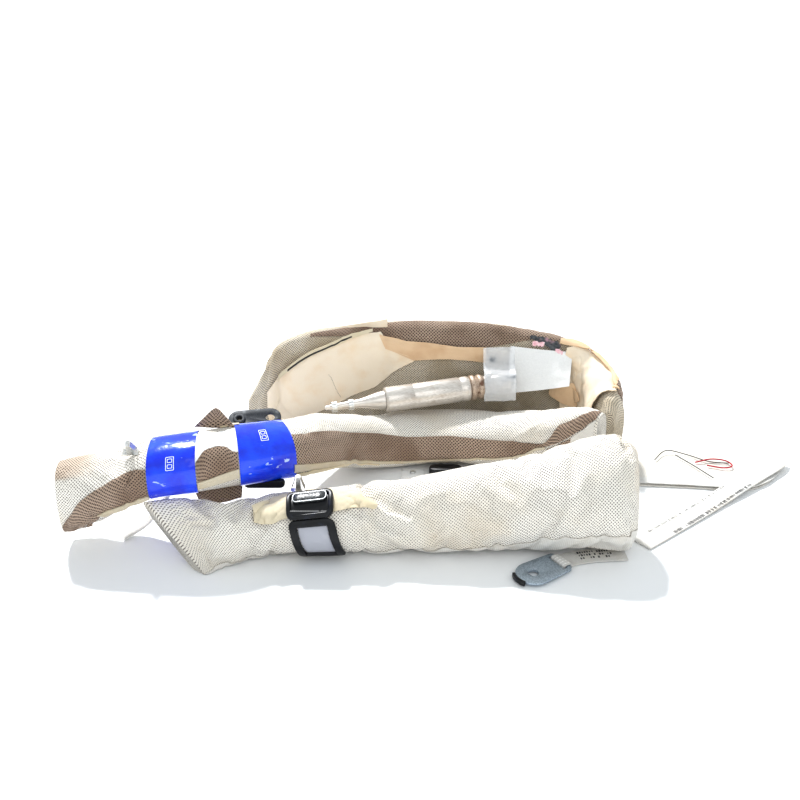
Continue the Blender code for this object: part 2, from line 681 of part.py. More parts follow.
def add_keeper(frame, radius):
    """Plastic keeper pressed on the plate's left rim, which stops the bolt from falling out."""
    inner = arc(0, 0, radius + FIT, 150, 205, 6)
    outer = arc(0, 0, radius + 0.0035, 205, 150, 6)
    prism("bolt_keeper", inner + outer, -0.001, ANCHOR_THICK + 0.0015, frame, BLACK_PLASTIC)


def add_webbing_loop(frame, slot_x):
    """The end of the webbing: a flat loop through the slot and round the bar, and the run to the strap."""
    wall = 0.0011
    height = ANCHOR_THICK / 2
    bar_middle = slot_x + ANCHOR_SLOT_WIDTH / 2 + ANCHOR_BAR / 2
    half_x = ANCHOR_BAR / 2 + 0.0012
    half_z = ANCHOR_THICK / 2 + FIT
    upright = frame @ Matrix.Rotation(math.radians(90), 4, "X")
    half_width = ANCHOR_WEBBING_WIDTH / 2
    rings = []
    for grow, flip in ((0.0, 1), (wall, 1), (wall, -1), (0.0, -1)):
        ring = []
        for k in range(24):
            angle = 2 * math.pi * k / 24
            flat_x = math.copysign(abs(math.cos(angle)) ** 0.5, math.cos(angle)) * (half_x + grow)
            flat_z = math.copysign(abs(math.sin(angle)) ** 0.5, math.sin(angle)) * (half_z + grow)
            ring.append(upright @ Vector((bar_middle + flat_x, height + flat_z, flip * half_width)))
        rings.append(ring)
    from_rings("webbing_loop", rings, WEBBING, hollow=True)
    loop_end = bar_middle + half_x + wall
    route = [frame @ Vector((loop_end + ahead, 0, 0)) for ahead in (BEND_GAP, BEND_GAP + 0.0070)]
    route += [place(0.1480, -0.1285, 0), place(0.168, -0.1260, 0), place(0.190, -0.1240, 0)]
    for point in route:
        point.z = FIT
    path = smooth_path(route, 4)
    ribbon("anchor_webbing", path, ANCHOR_WEBBING_WIDTH, WEBBING_THICK, WEBBING)
    bend = frame @ Vector((loop_end + BEND_GAP / 2, 0, 0))
    print("anchor bend line", [round(v, 5) for v in bend.xy], "at height", FIT + WEBBING_THICK / 2)


# ---------------------------------------------------------------- small parts between the runs
def add_mounting_tabs():
    """Two riveted fabric tabs and the clip body between them, in front of the middle run."""
    for side, x in (("left", -0.030), ("right", 0.046)):
        corner = place(x, 0.041, 0.0)
        outline = [(-0.014, -0.010), (0.014, -0.010), (0.012, 0.010), (-0.012, 0.010)]
        prism("mounting_tab_" + side, outline, 0.0, 0.0016, Matrix.Translation(corner), PAPER)
        axis = Matrix.Translation(corner + Vector((0, 0, 0.0016 + FIT))) @ Matrix.Rotation(math.radians(-90), 4, "Y")
        head = [(0.0, 0.0035), (0.0008, 0.0035), (0.0016, 0.0022)]
        turned("tab_rivet_" + side, head, axis, SPRING_STEEL, sides=16)
    middle = place(0.008, 0.038, 0.0)
    outline = arc(0.012, 0, 0.007, -90, 90, 6) + arc(-0.012, 0, 0.007, 90, 270, 6)
    prism("tab_clip_body", outline, 0.0, 0.011, Matrix.Translation(middle), BLACK_PLASTIC)


def add_left_strap():
    path = smooth_path([
        place(-0.288, -0.075, 0.048), place(-0.300, -0.079, 0.032), place(-0.317, -0.085, 0.013),
        place(-0.340, -0.092, 0.0004),
    ], 4)
    ribbon("left_strap", path, 0.014, 0.0014, WEBBING)


def main():
    clear_scene()
    add_run("front", FRONT_RUN)
    add_run("middle", MIDDLE_RUN)
    add_run("rear", REAR_RUN)
    add_mesh_strips()
    add_tapes()
    add_rear_panels()
    add_clear_film()
    add_corner_tabs()
    add_inflator()
    add_retainer()
    end_clip_foot = skin_point(section_at(MIDDLE_RUN, 2.5), 102, 0.0034)
    add_spring_clip("left_end", end_clip_foot, END_CLIP_LEAN)
    add_bracket()
    add_tether()
    add_anchor()
    add_mounting_tabs()
    add_left_strap()


main()
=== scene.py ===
# %% [markdown]
# # A curtain airbag module, folded up
# The bag that drops from a car's roof rail is a long roll of coated fabric in a sleeve of stretchy mesh. This one
# has been taken out and folded in three runs. The frame gives every hard part its place; this file makes the
# sleeves, strips, tapes and webbing, and gives every surface its finish.

import json
import math
from collections import namedtuple

import bmesh
import bpy
import numpy as np
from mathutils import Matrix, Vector

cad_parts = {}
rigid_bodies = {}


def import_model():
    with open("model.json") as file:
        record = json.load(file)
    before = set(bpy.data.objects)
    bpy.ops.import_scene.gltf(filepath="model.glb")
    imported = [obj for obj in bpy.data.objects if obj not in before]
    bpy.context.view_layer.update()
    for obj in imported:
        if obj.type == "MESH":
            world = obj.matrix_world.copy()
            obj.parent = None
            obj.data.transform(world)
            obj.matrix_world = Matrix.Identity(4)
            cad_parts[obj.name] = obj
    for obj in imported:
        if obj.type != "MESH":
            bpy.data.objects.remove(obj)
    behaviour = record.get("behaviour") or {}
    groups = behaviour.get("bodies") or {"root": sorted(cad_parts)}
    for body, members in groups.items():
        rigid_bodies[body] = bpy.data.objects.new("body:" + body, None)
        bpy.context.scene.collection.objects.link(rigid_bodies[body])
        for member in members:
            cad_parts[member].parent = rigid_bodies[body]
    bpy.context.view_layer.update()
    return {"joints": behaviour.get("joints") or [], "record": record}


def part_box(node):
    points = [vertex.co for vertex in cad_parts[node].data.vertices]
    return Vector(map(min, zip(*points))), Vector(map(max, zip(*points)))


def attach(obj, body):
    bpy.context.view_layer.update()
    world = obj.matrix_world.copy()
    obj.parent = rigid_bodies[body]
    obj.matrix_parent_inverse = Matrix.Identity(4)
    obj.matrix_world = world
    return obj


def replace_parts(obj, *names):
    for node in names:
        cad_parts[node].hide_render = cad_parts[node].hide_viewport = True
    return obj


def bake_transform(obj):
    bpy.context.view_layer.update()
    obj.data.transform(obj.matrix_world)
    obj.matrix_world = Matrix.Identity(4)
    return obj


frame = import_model()
scene = bpy.context.scene
MM = 0.001

# %% [markdown]
# ## Camera
# A camera a little over a metre away looks down at the module as a person would who stands at the packing table.
# A 50 mm lens on a 36 mm sensor keeps the runs' proportions natural.

# %% Camera
camera_data = bpy.data.cameras.new("table_camera")
camera_data.lens = 50
camera_data.sensor_width = 36
camera = bpy.data.objects.new("table_camera", camera_data)
DOWN = 27  # degrees
camera.location = (-0.050, -1.0901, 0.67)
camera.rotation_euler = (math.radians(90 - DOWN), 0, 0)
scene.collection.objects.link(camera)
scene.camera = camera
print("camera looks down at", DOWN, "degrees from", tuple(round(v, 3) for v in camera.location))

# %% [markdown]
# ## Light and floor
# The module lies in a bright white room with one strong studio light behind it. The light leaves a soft shadow on
# the viewer's side, and the room fills it. The plain standard view keeps whites white, and a gamma a little
# below 1 gives the deep shadows between the runs.

# %% Light and floor
scene.view_settings.view_transform = "Standard"
scene.view_settings.look = "None"
scene.view_settings.gamma = 0.80
world = bpy.data.worlds.new("white_room")
world.use_nodes = True
world.node_tree.nodes["Background"].inputs["Color"].default_value = (0.92, 0.97, 1.0, 1.0)
world.node_tree.nodes["Background"].inputs["Strength"].default_value = 0.84
scene.world = world


def add_lamp(name, kind, place, energy, size):
    """A lamp that faces the module. A sun's size is its angle in radians, an area lamp's is its side."""
    data = bpy.data.lights.new(name, kind)
    data.energy = energy
    if kind == "SUN":
        data.angle = size
    else:
        data.size = size
    lamp = bpy.data.objects.new(name, data)
    lamp.location = place
    lamp.rotation_euler = (-Vector(place)).to_track_quat("-Z", "Y").to_euler()
    scene.collection.objects.link(lamp)


add_lamp("studio_key", "SUN", (-0.30, 0.80, 1.02), 3.7, math.radians(4))
add_lamp("front_fill", "AREA", (0.3, -1.8, 1.5), 9, 1.6)

# %% [markdown]
# ## One way to make a finish
# Colours are written as they look on a screen, in hex, and one function turns them into the linear numbers that
# the shader wants. One more function adds a node with its settings and links, so each finish reads as a list of
# the layers that the real material has.

# %% Helpers for finishes
def linear(hex_colour):
    """A screen colour as linear red, green, blue and alpha."""
    found = []
    for k in (1, 3, 5):
        value = int(hex_colour[k:k + 2], 16) / 255
        found.append(value / 12.92 if value <= 0.04045 else ((value + 0.055) / 1.055) ** 2.4)
    return (*found, 1.0)


def add_node(tree, kind, links=None, **settings):
    """Adds a node. Each link's value is a number, a colour or another node's output."""
    node = tree.nodes.new(kind)
    for name, value in settings.items():
        setattr(node, name, value)
    for key, value in (links or {}).items():
        if isinstance(value, bpy.types.NodeSocket):
            tree.links.new(value, node.inputs[key])
        else:
            node.inputs[key].default_value = value
    return node


def start_finish(name, roughness, metallic=0.0):
    """A new material and its shader."""
    made = bpy.data.materials.new(name)
    made.use_nodes = True
    shader = made.node_tree.nodes["Principled BSDF"]
    shader.inputs["Roughness"].default_value = roughness
    shader.inputs["Metallic"].default_value = metallic
    return made, made.node_tree, shader


def ramp_between(tree, factor, low, high):
    """0 below low, 1 above high, smooth between them."""
    return add_node(tree, "ShaderNodeMapRange", {"Value": factor, "From Min": low, "From Max": high},
                    interpolation_type="SMOOTHSTEP").outputs["Result"]


def mix_colours(tree, factor, first, second):
    node = add_node(tree, "ShaderNodeMix", {0: factor}, data_type="RGBA")
    for key, value in ((6, first), (7, second)):
        if isinstance(value, bpy.types.NodeSocket):
            tree.links.new(value, node.inputs[key])
        else:
            node.inputs[key].default_value = value
    return node.outputs[2]


def maths(tree, operation, first, second):
    return add_node(tree, "ShaderNodeMath", {0: first, 1: second}, operation=operation).outputs[0]


def object_place(tree):
    return add_node(tree, "ShaderNodeTexCoord").outputs["Object"]


def metres_on_cloth(tree):
    """The UV map that every cloth piece carries, in metres along and across it."""
    return add_node(tree, "ShaderNodeUVMap", uv_map="metres").outputs["UV"]


def noise_on(tree, vector, size, detail=3.0, seed=0.0):
    """Cloudy noise whose blotches are about size metres across."""
    return add_node(tree, "ShaderNodeTexNoise", {"Vector": vector, "Scale": 1 / size, "Detail": detail, "W": seed},
                    noise_dimensions="4D").outputs["Fac"]


def set_bump(tree, shader, height, depth, strength=1.0):
    """A bump whose full height is depth metres."""
    bump = add_node(tree, "ShaderNodeBump", {"Height": height, "Distance": depth, "Strength": strength})
    tree.links.new(bump.outputs["Normal"], shader.inputs["Normal"])


def painted(finish, *objects):
    for obj in objects:
        obj.data.materials.clear()
        obj.data.materials.append(finish)


# %% [markdown]
# ## Floor
# The table is a sheet of white laminate: nearly white, with a broad, dull sheen.

# %% Floor
laminate, tree, shader = start_finish("white laminate, satin", 0.55)
spots = noise_on(tree, object_place(tree), 0.35)
tree.links.new(mix_colours(tree, spots, linear("#F4F5F6"), linear("#FBFBFB")), shader.inputs["Base Color"])
floor_mesh = bpy.data.meshes.new("floor")
FLOOR_SIDE = 6.0
FLOOR_TOP = -0.0004  # a hair below the module, so that the two never share a face
corners = [(x * FLOOR_SIDE, y * FLOOR_SIDE) for x, y in ((-1, -1), (1, -1), (1, 1), (-1, 1))]
floor_mesh.from_pydata([(x, y, FLOOR_TOP) for x, y in corners], [], [(0, 1, 2, 3)])
floor = bpy.data.objects.new("floor", floor_mesh)
scene.collection.objects.link(floor)
painted(laminate, floor)

# %% [markdown]
# ## Mesh fabric
# The sleeve is warp-knitted polyester mesh: fine yarns that leave a diamond lattice of small holes, about
# 2.6 mm apart. Its UV map is in metres along and round the roll, so the lattice keeps its real size and follows
# every fold. A lattice of cells gives the holes, and the same cells raise the yarns between them.

# %% Mesh fabric
DYED_YARN = "#D6C5B4"
DYED_HOLE = "#4A382E"


def mesh_finish(name, yarn, worn_yarn, hole, pitch, hole_size, stain, stain_amount):
    """Knitted mesh: yarns with holes, patches where the holes are packed with dust, and stains."""
    made, tree, shader = start_finish(name, 0.82)
    uv = metres_on_cloth(tree)
    place = object_place(tree)
    turned = add_node(tree, "ShaderNodeMapping", {"Vector": uv, "Rotation": (0, 0, math.radians(45))})
    cells = add_node(tree, "ShaderNodeTexVoronoi",
                     {"Vector": turned.outputs["Vector"], "Scale": 1 / pitch, "Randomness": 0.10},
                     voronoi_dimensions="2D")
    distance = cells.outputs["Distance"]
    blotch = noise_on(tree, place, 0.045, 4.0, 1.0)
    shift = maths(tree, "MULTIPLY", blotch, 0.16)
    shifted = maths(tree, "ADD", distance, shift)
    edge = hole_size + 0.08
    yarn_mask = ramp_between(tree, shifted, edge - 0.09, edge + 0.09)
    tone = mix_colours(tree, ramp_between(tree, blotch, 0.38, 0.66), linear(yarn), linear(worn_yarn))
    painted_brown = add_node(tree, "ShaderNodeAttribute", attribute_name="dyed").outputs["Fac"]
    patchy = maths(tree, "ADD", painted_brown, blotch)
    dyed = ramp_between(tree, patchy, 0.75, 1.15)
    tone = mix_colours(tree, dyed, tone, linear(DYED_YARN))
    dark = mix_colours(tree, dyed, linear(hole), linear(DYED_HOLE))
    cloth = mix_colours(tree, yarn_mask, dark, tone)
    dirt = ramp_between(tree, noise_on(tree, place, 0.085, 5.0, 7.0), 0.50, 0.74)
    dirt = maths(tree, "MULTIPLY", dirt, stain_amount)
    dirty = mix_colours(tree, dirt, cloth, linear(stain))
    tree.links.new(dirty, shader.inputs["Base Color"])
    fibre = noise_on(tree, uv, 0.0007, 2.0)
    height = maths(tree, "ADD", yarn_mask, fibre)
    set_bump(tree, shader, height, 0.0005, 0.9)
    shader.inputs["Sheen Weight"].default_value = 0.15
    shader.inputs["Sheen Roughness"].default_value = 0.5
    return made


WHITE_MESH = mesh_finish("polyester mesh, warp knitted white", yarn="#F6F2EA", worn_yarn="#F0EADF", hole="#857B76",
                         pitch=2.55 * MM, hole_size=0.25, stain="#D2BC98", stain_amount=0.30)
GREY_MESH = mesh_finish("polyester mesh, warp knitted and dusty", yarn="#E9DFCE", worn_yarn="#CDBFA8", hole="#756A5B",
                        pitch=2.3 * MM, hole_size=0.27, stain="#A8957A", stain_amount=0.45)
BROWN_MESH = mesh_finish("polyester mesh, warp knitted taupe", yarn="#BFA997", worn_yarn="#9C8573", hole="#3F322B",
                         pitch=2.8 * MM, hole_size=0.29, stain="#7A6455", stain_amount=0.35)

# %% [markdown]
# ## The runs of the roll
# Each run follows a short list of stations: a middle point, how the roll is turned and leant there, its height
# and its thickness. A smooth curve through the stations gives as many rings as the cloth needs. Working with
# station and angle as coordinates means that everything sewn or taped on a roll can be placed as a tailor
# would place it: so far along, so far round.

# %% Stations of the runs
Section = namedtuple("Section", "x y z turn lean tall thick")
ORIGIN = np.array((0.0050, 0.0071, 0.0))  # middle of the base in the stations' own coordinates
BOXY = 0.82  # below 1 fills out the corners of a roll's section
TAPE_WIDTH = 0.048
TAPE_1_X = -0.278
TAPE_2_X = -0.192


def beside_tape(centre, side):
    return centre + side * TAPE_WIDTH / 2


FRONT_RUN = (
    Section(-0.276, -0.136, 0.027, 55, 52, 0.100, 0.014),
    Section(-0.240, -0.127, 0.028, 24, 32, 0.074, 0.038),
    Section(-0.205, -0.116, 0.027, 8, 16, 0.060, 0.060),
    Section(-0.160, -0.106, 0.029, 2, 12, 0.060, 0.068),
    Section(-0.110, -0.103, 0.031, 2, 14, 0.064, 0.072),
    Section(-0.050, -0.099, 0.034, 3, 16, 0.070, 0.074),
    Section(0.010, -0.096, 0.038, 3, 19, 0.078, 0.078),
    Section(0.070, -0.093, 0.043, 3, 25, 0.089, 0.086),
    Section(0.122, -0.093, 0.052, 2, 29, 0.103, 0.090),
    Section(0.163, -0.095, 0.058, 0, 30, 0.115, 0.088),
    Section(0.186, -0.096, 0.058, 0, 29, 0.113, 0.078),
    Section(0.200, -0.093, 0.058, 0, 25, 0.092, 0.046),
)
MIDDLE_RUN = (
    Section(-0.397, -0.094, 0.053, 0, 0, 0.080, 0.046),
    Section(-0.372, -0.092, 0.0585, 2, 0, 0.075, 0.064),
    Section(-0.336, -0.089, 0.070, 2, 0, 0.060, 0.068),
    Section(beside_tape(TAPE_1_X, -1), -0.087, 0.0835, 2, 0, 0.0555, 0.067),
    Section(beside_tape(TAPE_1_X, +1), -0.083, 0.089, 4, 0, 0.056, 0.067),
    Section(beside_tape(TAPE_2_X, -1), -0.070, 0.089, 12, 0, 0.057, 0.066),
    Section(beside_tape(TAPE_2_X, +1), -0.038, 0.079, 24, 0, 0.056, 0.066),
    Section(-0.132, 0.017, 0.058, 34, 0, 0.055, 0.070),
    Section(-0.090, 0.058, 0.037, 26, 0, 0.054, 0.072),
    Section(-0.040, 0.083, 0.028, 8, 0, 0.053, 0.072),
    Section(0.020, 0.087, 0.028, 0, 0, 0.053, 0.072),
    Section(0.075, 0.083, 0.030, -4, 0, 0.056, 0.068),
    Section(0.122, 0.068, 0.038, -22, 0, 0.060, 0.058),
    Section(0.164, 0.040, 0.055, -34, -6, 0.064, 0.044),
    Section(0.184, 0.026, 0.065, -36, -8, 0.046, 0.024),
)
REAR_RUN = (
    Section(-0.236, 0.168, 0.018, 0, 0, 0.030, 0.014),
    Section(-0.217, 0.169, 0.033, 0, 0, 0.066, 0.026),
    Section(-0.187, 0.170, 0.054, 0, 0, 0.108, 0.036),
    Section(-0.125, 0.171, 0.063, 0, 0, 0.126, 0.042),
    Section(-0.045, 0.172, 0.067, 0, 0, 0.134, 0.044),
    Section(0.035, 0.172, 0.067, 0, 0, 0.134, 0.044),
    Section(0.110, 0.170, 0.063, -4, 0, 0.126, 0.042),
    Section(0.162, 0.159, 0.058, -24, 0, 0.115, 0.038),
    Section(0.194, 0.132, 0.052, -60, 0, 0.104, 0.036),
    Section(0.204, 0.098, 0.048, -86, 0, 0.094, 0.034),
    Section(0.200, 0.066, 0.045, -104, 0, 0.082, 0.028),
    Section(0.196, 0.054, 0.044, -110, 0, 0.060, 0.016),
)


def through(table, numbers):
    """Values of a table's rows at numbers that may lie between rows, on a smooth curve through the rows."""
    table = np.asarray(table, float)
    numbers = np.atleast_1d(np.asarray(numbers, float))
    last = len(table) - 1
    i = np.clip(numbers.astype(int), 0, last - 1)
    t = (numbers - i).reshape((-1,) + (1,) * (table.ndim - 1))
    before, a, b, after = (table[np.clip(i + k, 0, last)] for k in (-1, 0, 1, 2))
    slope_a = (b - before) / 2
    slope_b = (after - a) / 2
    square = t * t
    cube = square * t
    value = (2 * cube - 3 * square + 1) * a + (cube - 2 * square + t) * slope_a
    return value + (3 * square - 2 * cube) * b + (cube - square) * slope_b


def unit(vectors):
    """Vectors along the last axis, each made one long."""
    return vectors / np.maximum(np.linalg.norm(vectors, axis=-1, keepdims=True), 1e-12)


def path_lengths(points):
    """Metres along a line of points, from its first."""
    return np.concatenate(([0], np.cumsum(np.linalg.norm(np.diff(points, axis=0), axis=1))))


def skin_points(stations, numbers, angles):
    """Points on a run's outside: a row for each station number, a column for each angle in degrees."""
    x, y, z, turn, lean, tall, thick = through(stations, numbers).T
    turn, lean = np.radians(turn), np.radians(lean)
    up = np.array((0.0, 0.0, 1.0))
    across = np.stack((-np.sin(turn), np.cos(turn), 0 * turn), -1)
    tall_way = np.cos(lean)[:, None] * up + np.sin(lean)[:, None] * across
    thick_way = np.cos(lean)[:, None] * across - np.sin(lean)[:, None] * up
    cosine, sine = np.cos(np.radians(angles)), np.sin(np.radians(angles))
    wide = np.sign(cosine) * np.abs(cosine) ** BOXY / 2
    high = np.sign(sine) * np.abs(sine) ** BOXY / 2
    middle = np.stack((x, y, z), -1) - ORIGIN
    points = middle[:, None] + thick_way[:, None] * (wide * thick[:, None])[..., None]
    points = points + tall_way[:, None] * (high * tall[:, None])[..., None]
    points[..., 2] = np.maximum(points[..., 2], 0)
    return points


print("stations:", len(FRONT_RUN), "front,", len(MIDDLE_RUN), "middle,", len(REAR_RUN), "rear")

# %% [markdown]
# ## From points to cloth
# A tube of rings and sides keeps its grid through the cloth simulation, so its UV map survives and places on it
# stay known. Sleeve cloth is cut a little too big for its roll. The simulation lets it grow by a few per cent and
# blows it up gently, while the tapes and the retainer hold it, and the spare cloth buckles into real folds.

# %% Cloth on a tube
def outward(grid):
    """1 if the grid's rows and columns turn so that its faces point out, else -1."""
    middle = grid.mean(axis=1, keepdims=True)
    along = np.gradient(grid, axis=0)
    round_it = np.roll(grid, -1, axis=1) - np.roll(grid, 1, axis=1)
    return 1 if (np.cross(along, round_it) * (grid - middle)).sum() > 0 else -1


def tube_faces(rings, sides, sign):
    faces = []
    for i in range(rings - 1):
        for j in range(sides):
            n = (j + 1) % sides
            quad = (i * sides + j, (i + 1) * sides + j, (i + 1) * sides + n, i * sides + n)
            faces.append(quad if sign > 0 else quad[::-1])
    return faces


def tube_ends(rings, sides, sign):
    """Triangles that close both ends on two more points, the start's and then the end's."""
    faces = []
    for j in range(sides):
        n = (j + 1) % sides
        start = (rings * sides, j, n)
        end = (rings * sides + 1, (rings - 1) * sides + n, (rings - 1) * sides + j)
        faces.extend(face if sign > 0 else face[::-1] for face in (start, end))
    return faces


def with_end_points(grid):
    """A tube's points in one list, with the middle of each end after them."""
    return np.concatenate((grid.reshape(-1, 3), grid[0].mean(0)[None], grid[-1].mean(0)[None]))


def ripple(u, v, seed, waves=26, finest=0.022, coarsest=0.10):
    """Small uneven waves over the cloth, from -1 to 1. u and v are metres along and round it."""
    rng = np.random.default_rng(seed)
    total = 0
    for _ in range(waves):
        length = coarsest * (finest / coarsest) ** rng.random()
        heading = rng.random() * math.pi
        phase = rng.random() * 2 * math.pi
        total = total + length * np.sin(2 * math.pi * (u * math.cos(heading) + v * math.sin(heading)) / length + phase)
    return total / np.abs(total).max()


SETTLE_FRAMES = 20
KNIT = {"quality": 5, "mass": 0.2, "tension_stiffness": 12, "compression_stiffness": 12, "shear_stiffness": 4,
        "bending_stiffness": 0.4}


def settle(name, grid, hold, pressure, grow, cap):
    """Runs the cloth simulation on a closed tube and returns the grid where it came to lie."""
    rings, sides = grid.shape[:2]
    sign = outward(grid)
    points = with_end_points(grid)
    mesh = bpy.data.meshes.new(name + "_cloth")
    mesh.from_pydata(points.tolist(), [], tube_faces(rings, sides, sign) + tube_ends(rings, sides, sign))
    obj = bpy.data.objects.new(name + "_cloth", mesh)
    scene.collection.objects.link(obj)
    group = obj.vertex_groups.new(name="held")
    weights = np.concatenate((np.clip(hold, 0, 1).reshape(-1), (1.0, 1.0)))
    for weight in np.unique(np.round(weights, 2)):
        group.add([int(k) for k in np.flatnonzero(np.round(weights, 2) == weight)], float(weight), "REPLACE")
    cloth = obj.modifiers.new("cloth", "CLOTH")
    settings = cloth.settings
    for key, value in KNIT.items():
        setattr(settings, key, value)
    settings.use_pressure = True
    settings.uniform_pressure_force = pressure
    settings.shrink_min = -grow
    settings.vertex_group_mass = "held"
    settings.effector_weights.gravity = 0
    cloth.point_cache.frame_end = SETTLE_FRAMES
    for step in range(1, SETTLE_FRAMES + 1):
        scene.frame_set(step)
    moved = obj.evaluated_get(bpy.context.evaluated_depsgraph_get()).data
    settled = np.zeros(len(moved.vertices) * 3)
    moved.vertices.foreach_get("co", settled)
    bpy.data.objects.remove(obj)
    scene.frame_set(1)
    shift = settled.reshape(-1, 3)[:rings * sides].reshape(grid.shape) - grid
    length = np.linalg.norm(shift, axis=-1, keepdims=True)
    shift = shift * np.minimum(1, cap / np.maximum(length, 1e-9))
    print(name, "cloth moved by up to", round(float(length.max()) * 1000, 1), "mm, kept to", cap * 1000)
    return grid + shift


def refine(grid):
    """Twice as many rings and sides, on smooth curves through the old ones."""
    rings, sides = grid.shape[:2]
    tall = through(grid, np.arange(2 * rings - 1) / 2)
    wrapped = np.concatenate((tall[:, -2:], tall, tall[:, :3]), axis=1).swapaxes(0, 1)
    fine = through(wrapped, 2 + np.arange(2 * sides) / 2)
    return fine.swapaxes(0, 1)


# %% [markdown]
# ## A run as something to sew on
# `Run` keeps the settled grid of a roll and answers one question for every strip, tape and stitch: where is the
# point at this station and this angle, so high above the cloth?

# %% The Run class
class Run:
    """A roll's settled surface. Angle 0 is its back, 90 its top, 180 its front and 270 its base."""

    def __init__(self, numbers, grid):
        self.numbers = numbers
        self.grid = grid
        along = np.gradient(grid, axis=0)
        round_it = np.roll(grid, -1, axis=1) - np.roll(grid, 1, axis=1)
        self.normals = unit(np.cross(along, round_it) * outward(grid))

    def at(self, numbers, angles, lift=0.0):
        """Points at station numbers and angles, arrays of one shape, lifted off the cloth."""
        numbers, angles, lift = np.broadcast_arrays(
            np.asarray(numbers, float), np.asarray(angles, float), np.asarray(lift, float))
        rings, sides = self.grid.shape[:2]
        row = np.interp(numbers, self.numbers, np.arange(rings))
        column = ((angles - 270) % 360) / 360 * sides
        i = np.clip(row.astype(int), 0, rings - 2)
        j = column.astype(int) % sides
        n = (j + 1) % sides
        a = (row - i)[..., None]
        b = (column - column.astype(int))[..., None]
        spots = []
        for field in (self.grid, self.normals):
            near = field[i, j] * (1 - b) + field[i, n] * b
            far = field[i + 1, j] * (1 - b) + field[i + 1, n] * b
            spots.append(near * (1 - a) + far * a)
        spot = spots[0] + unit(spots[1]) * lift[..., None]
        spot[..., 2] = np.maximum(spot[..., 2], 0.0002)
        return spot

    def number_at_x(self, x, angle):
        """The station number where the surface at this angle reaches x."""
        column = int(round(((angle - 270) % 360) / 360 * self.grid.shape[1])) % self.grid.shape[1]
        return float(np.interp(x, self.grid[:, column, 0], self.numbers))

    def degrees(self, number, width):
        """How many degrees round the roll a width in metres covers at a station."""
        ring = self.at(np.full(73, number), np.arange(0, 361, 5))
        girth = np.linalg.norm(np.diff(ring, axis=0), axis=-1).sum()
        return 360 * width / girth


def lay_metres(mesh, values):
    """Writes the UV map that the fabrics read, in metres, one pair for each face corner."""
    layer = mesh.uv_layers.new(name="metres")
    layer.data.foreach_set("uv", np.asarray(values, np.float32).ravel())


def finish_mesh(name, points, faces, metres, material, body):
    """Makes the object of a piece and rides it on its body."""
    mesh = bpy.data.meshes.new(name)
    mesh.from_pydata(np.asarray(points, float).tolist(), [], faces)
    lay_metres(mesh, metres)
    mesh.shade_smooth()
    mesh.set_sharp_from_angle(angle=math.radians(50))
    mesh.materials.append(material)
    obj = bpy.data.objects.new(name, mesh)
    scene.collection.objects.link(obj)
    if body:
        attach(obj, body)
    return obj


def no_metres(faces):
    """An empty UV map, for hard pieces whose finish reads object coordinates."""
    return np.zeros((sum(len(face) for face in faces), 2))


def arc_lengths(grid, axis):
    """Metres along a grid's rows or columns, from its first line."""
    steps = np.linalg.norm(np.diff(grid, axis=axis), axis=-1)
    start = np.zeros_like(np.take(steps, [0], axis=axis))
    return np.concatenate((start, np.cumsum(steps, axis=axis)), axis=axis)


def tube_piece(name, grid, material, pocket=0.0):
    """A run's sleeve as a closed mesh. A pocket turns its first end in, as an open mouth."""
    rings, sides = grid.shape[:2]
    u = arc_lengths(grid, 0).mean(axis=1)
    closed = np.concatenate((grid, grid[:, :1]), axis=1)
    v = arc_lengths(closed, 1)
    front = sides * (180 - 270 + 360) // 360 % sides
    v = v - v[:, front:front + 1]
    if pocket:
        mouth = grid[0]
        middle = mouth.mean(0)
        inner = []
        for depth, size in ((0.0, 0.965), (0.35, 0.90), (0.8, 0.82), (1.0, 0.6)):
            ring = middle + (mouth - middle) * size
            ring[:, 0] += pocket * depth
            inner.append(ring)
        grid = np.concatenate((np.array(inner[::-1]), grid))
        u = np.concatenate((u[0] - pocket * np.array((1.0, 0.8, 0.35, 0.0)), u))
        v = np.concatenate((np.repeat(v[:1], len(inner), 0), v))
        rings += len(inner)
    sign = outward(grid[-rings // 2:])
    faces = tube_faces(rings, sides, sign)
    metres = []
    for i in range(rings - 1):
        for j in range(sides):
            quad = [(u[i], v[i, j]), (u[i + 1], v[i + 1, j]), (u[i + 1], v[i + 1, j + 1]), (u[i], v[i, j + 1])]
            metres.extend(quad if sign > 0 else quad[::-1])
    ends = tube_ends(rings, sides, sign)
    for face in ends:
        metres.extend([(u[0], v[0, front]) if k == rings * sides else (u[0], v[0, k % sides]) for k in face])
    return finish_mesh(name, with_end_points(grid), faces + ends, metres, material, "root")


# %% [markdown]
# ## The three sleeves
# Held rings are those under the tapes and the retainer. The mesh's two ends are sewn flat, except at the left
# end of the middle run, where the sleeve has come open and shows a dark mouth.

# %% Settle the sleeves
RING_SPACING = 4.2 * MM


def even_numbers(stations, spacing):
    """Station numbers whose rings lie evenly along the run."""
    dense = np.linspace(0, len(stations) - 1, 600)
    along = path_lengths(through(stations, dense)[:, :3])
    count = int(round(along[-1] / spacing)) + 1
    return np.interp(np.linspace(0, along[-1], count), along, dense)


HOLD_EASE = 0.35  # of a station


def held(numbers, stretches):
    """1 inside the stretches of station numbers that something holds, easing to 0 outside them."""
    total = np.zeros_like(numbers)
    for low, high in stretches:
        beyond = np.maximum(np.maximum(low - numbers, numbers - high), 0)
        total = np.maximum(total, np.clip(1 - beyond / HOLD_EASE, 0, 1))
    return total


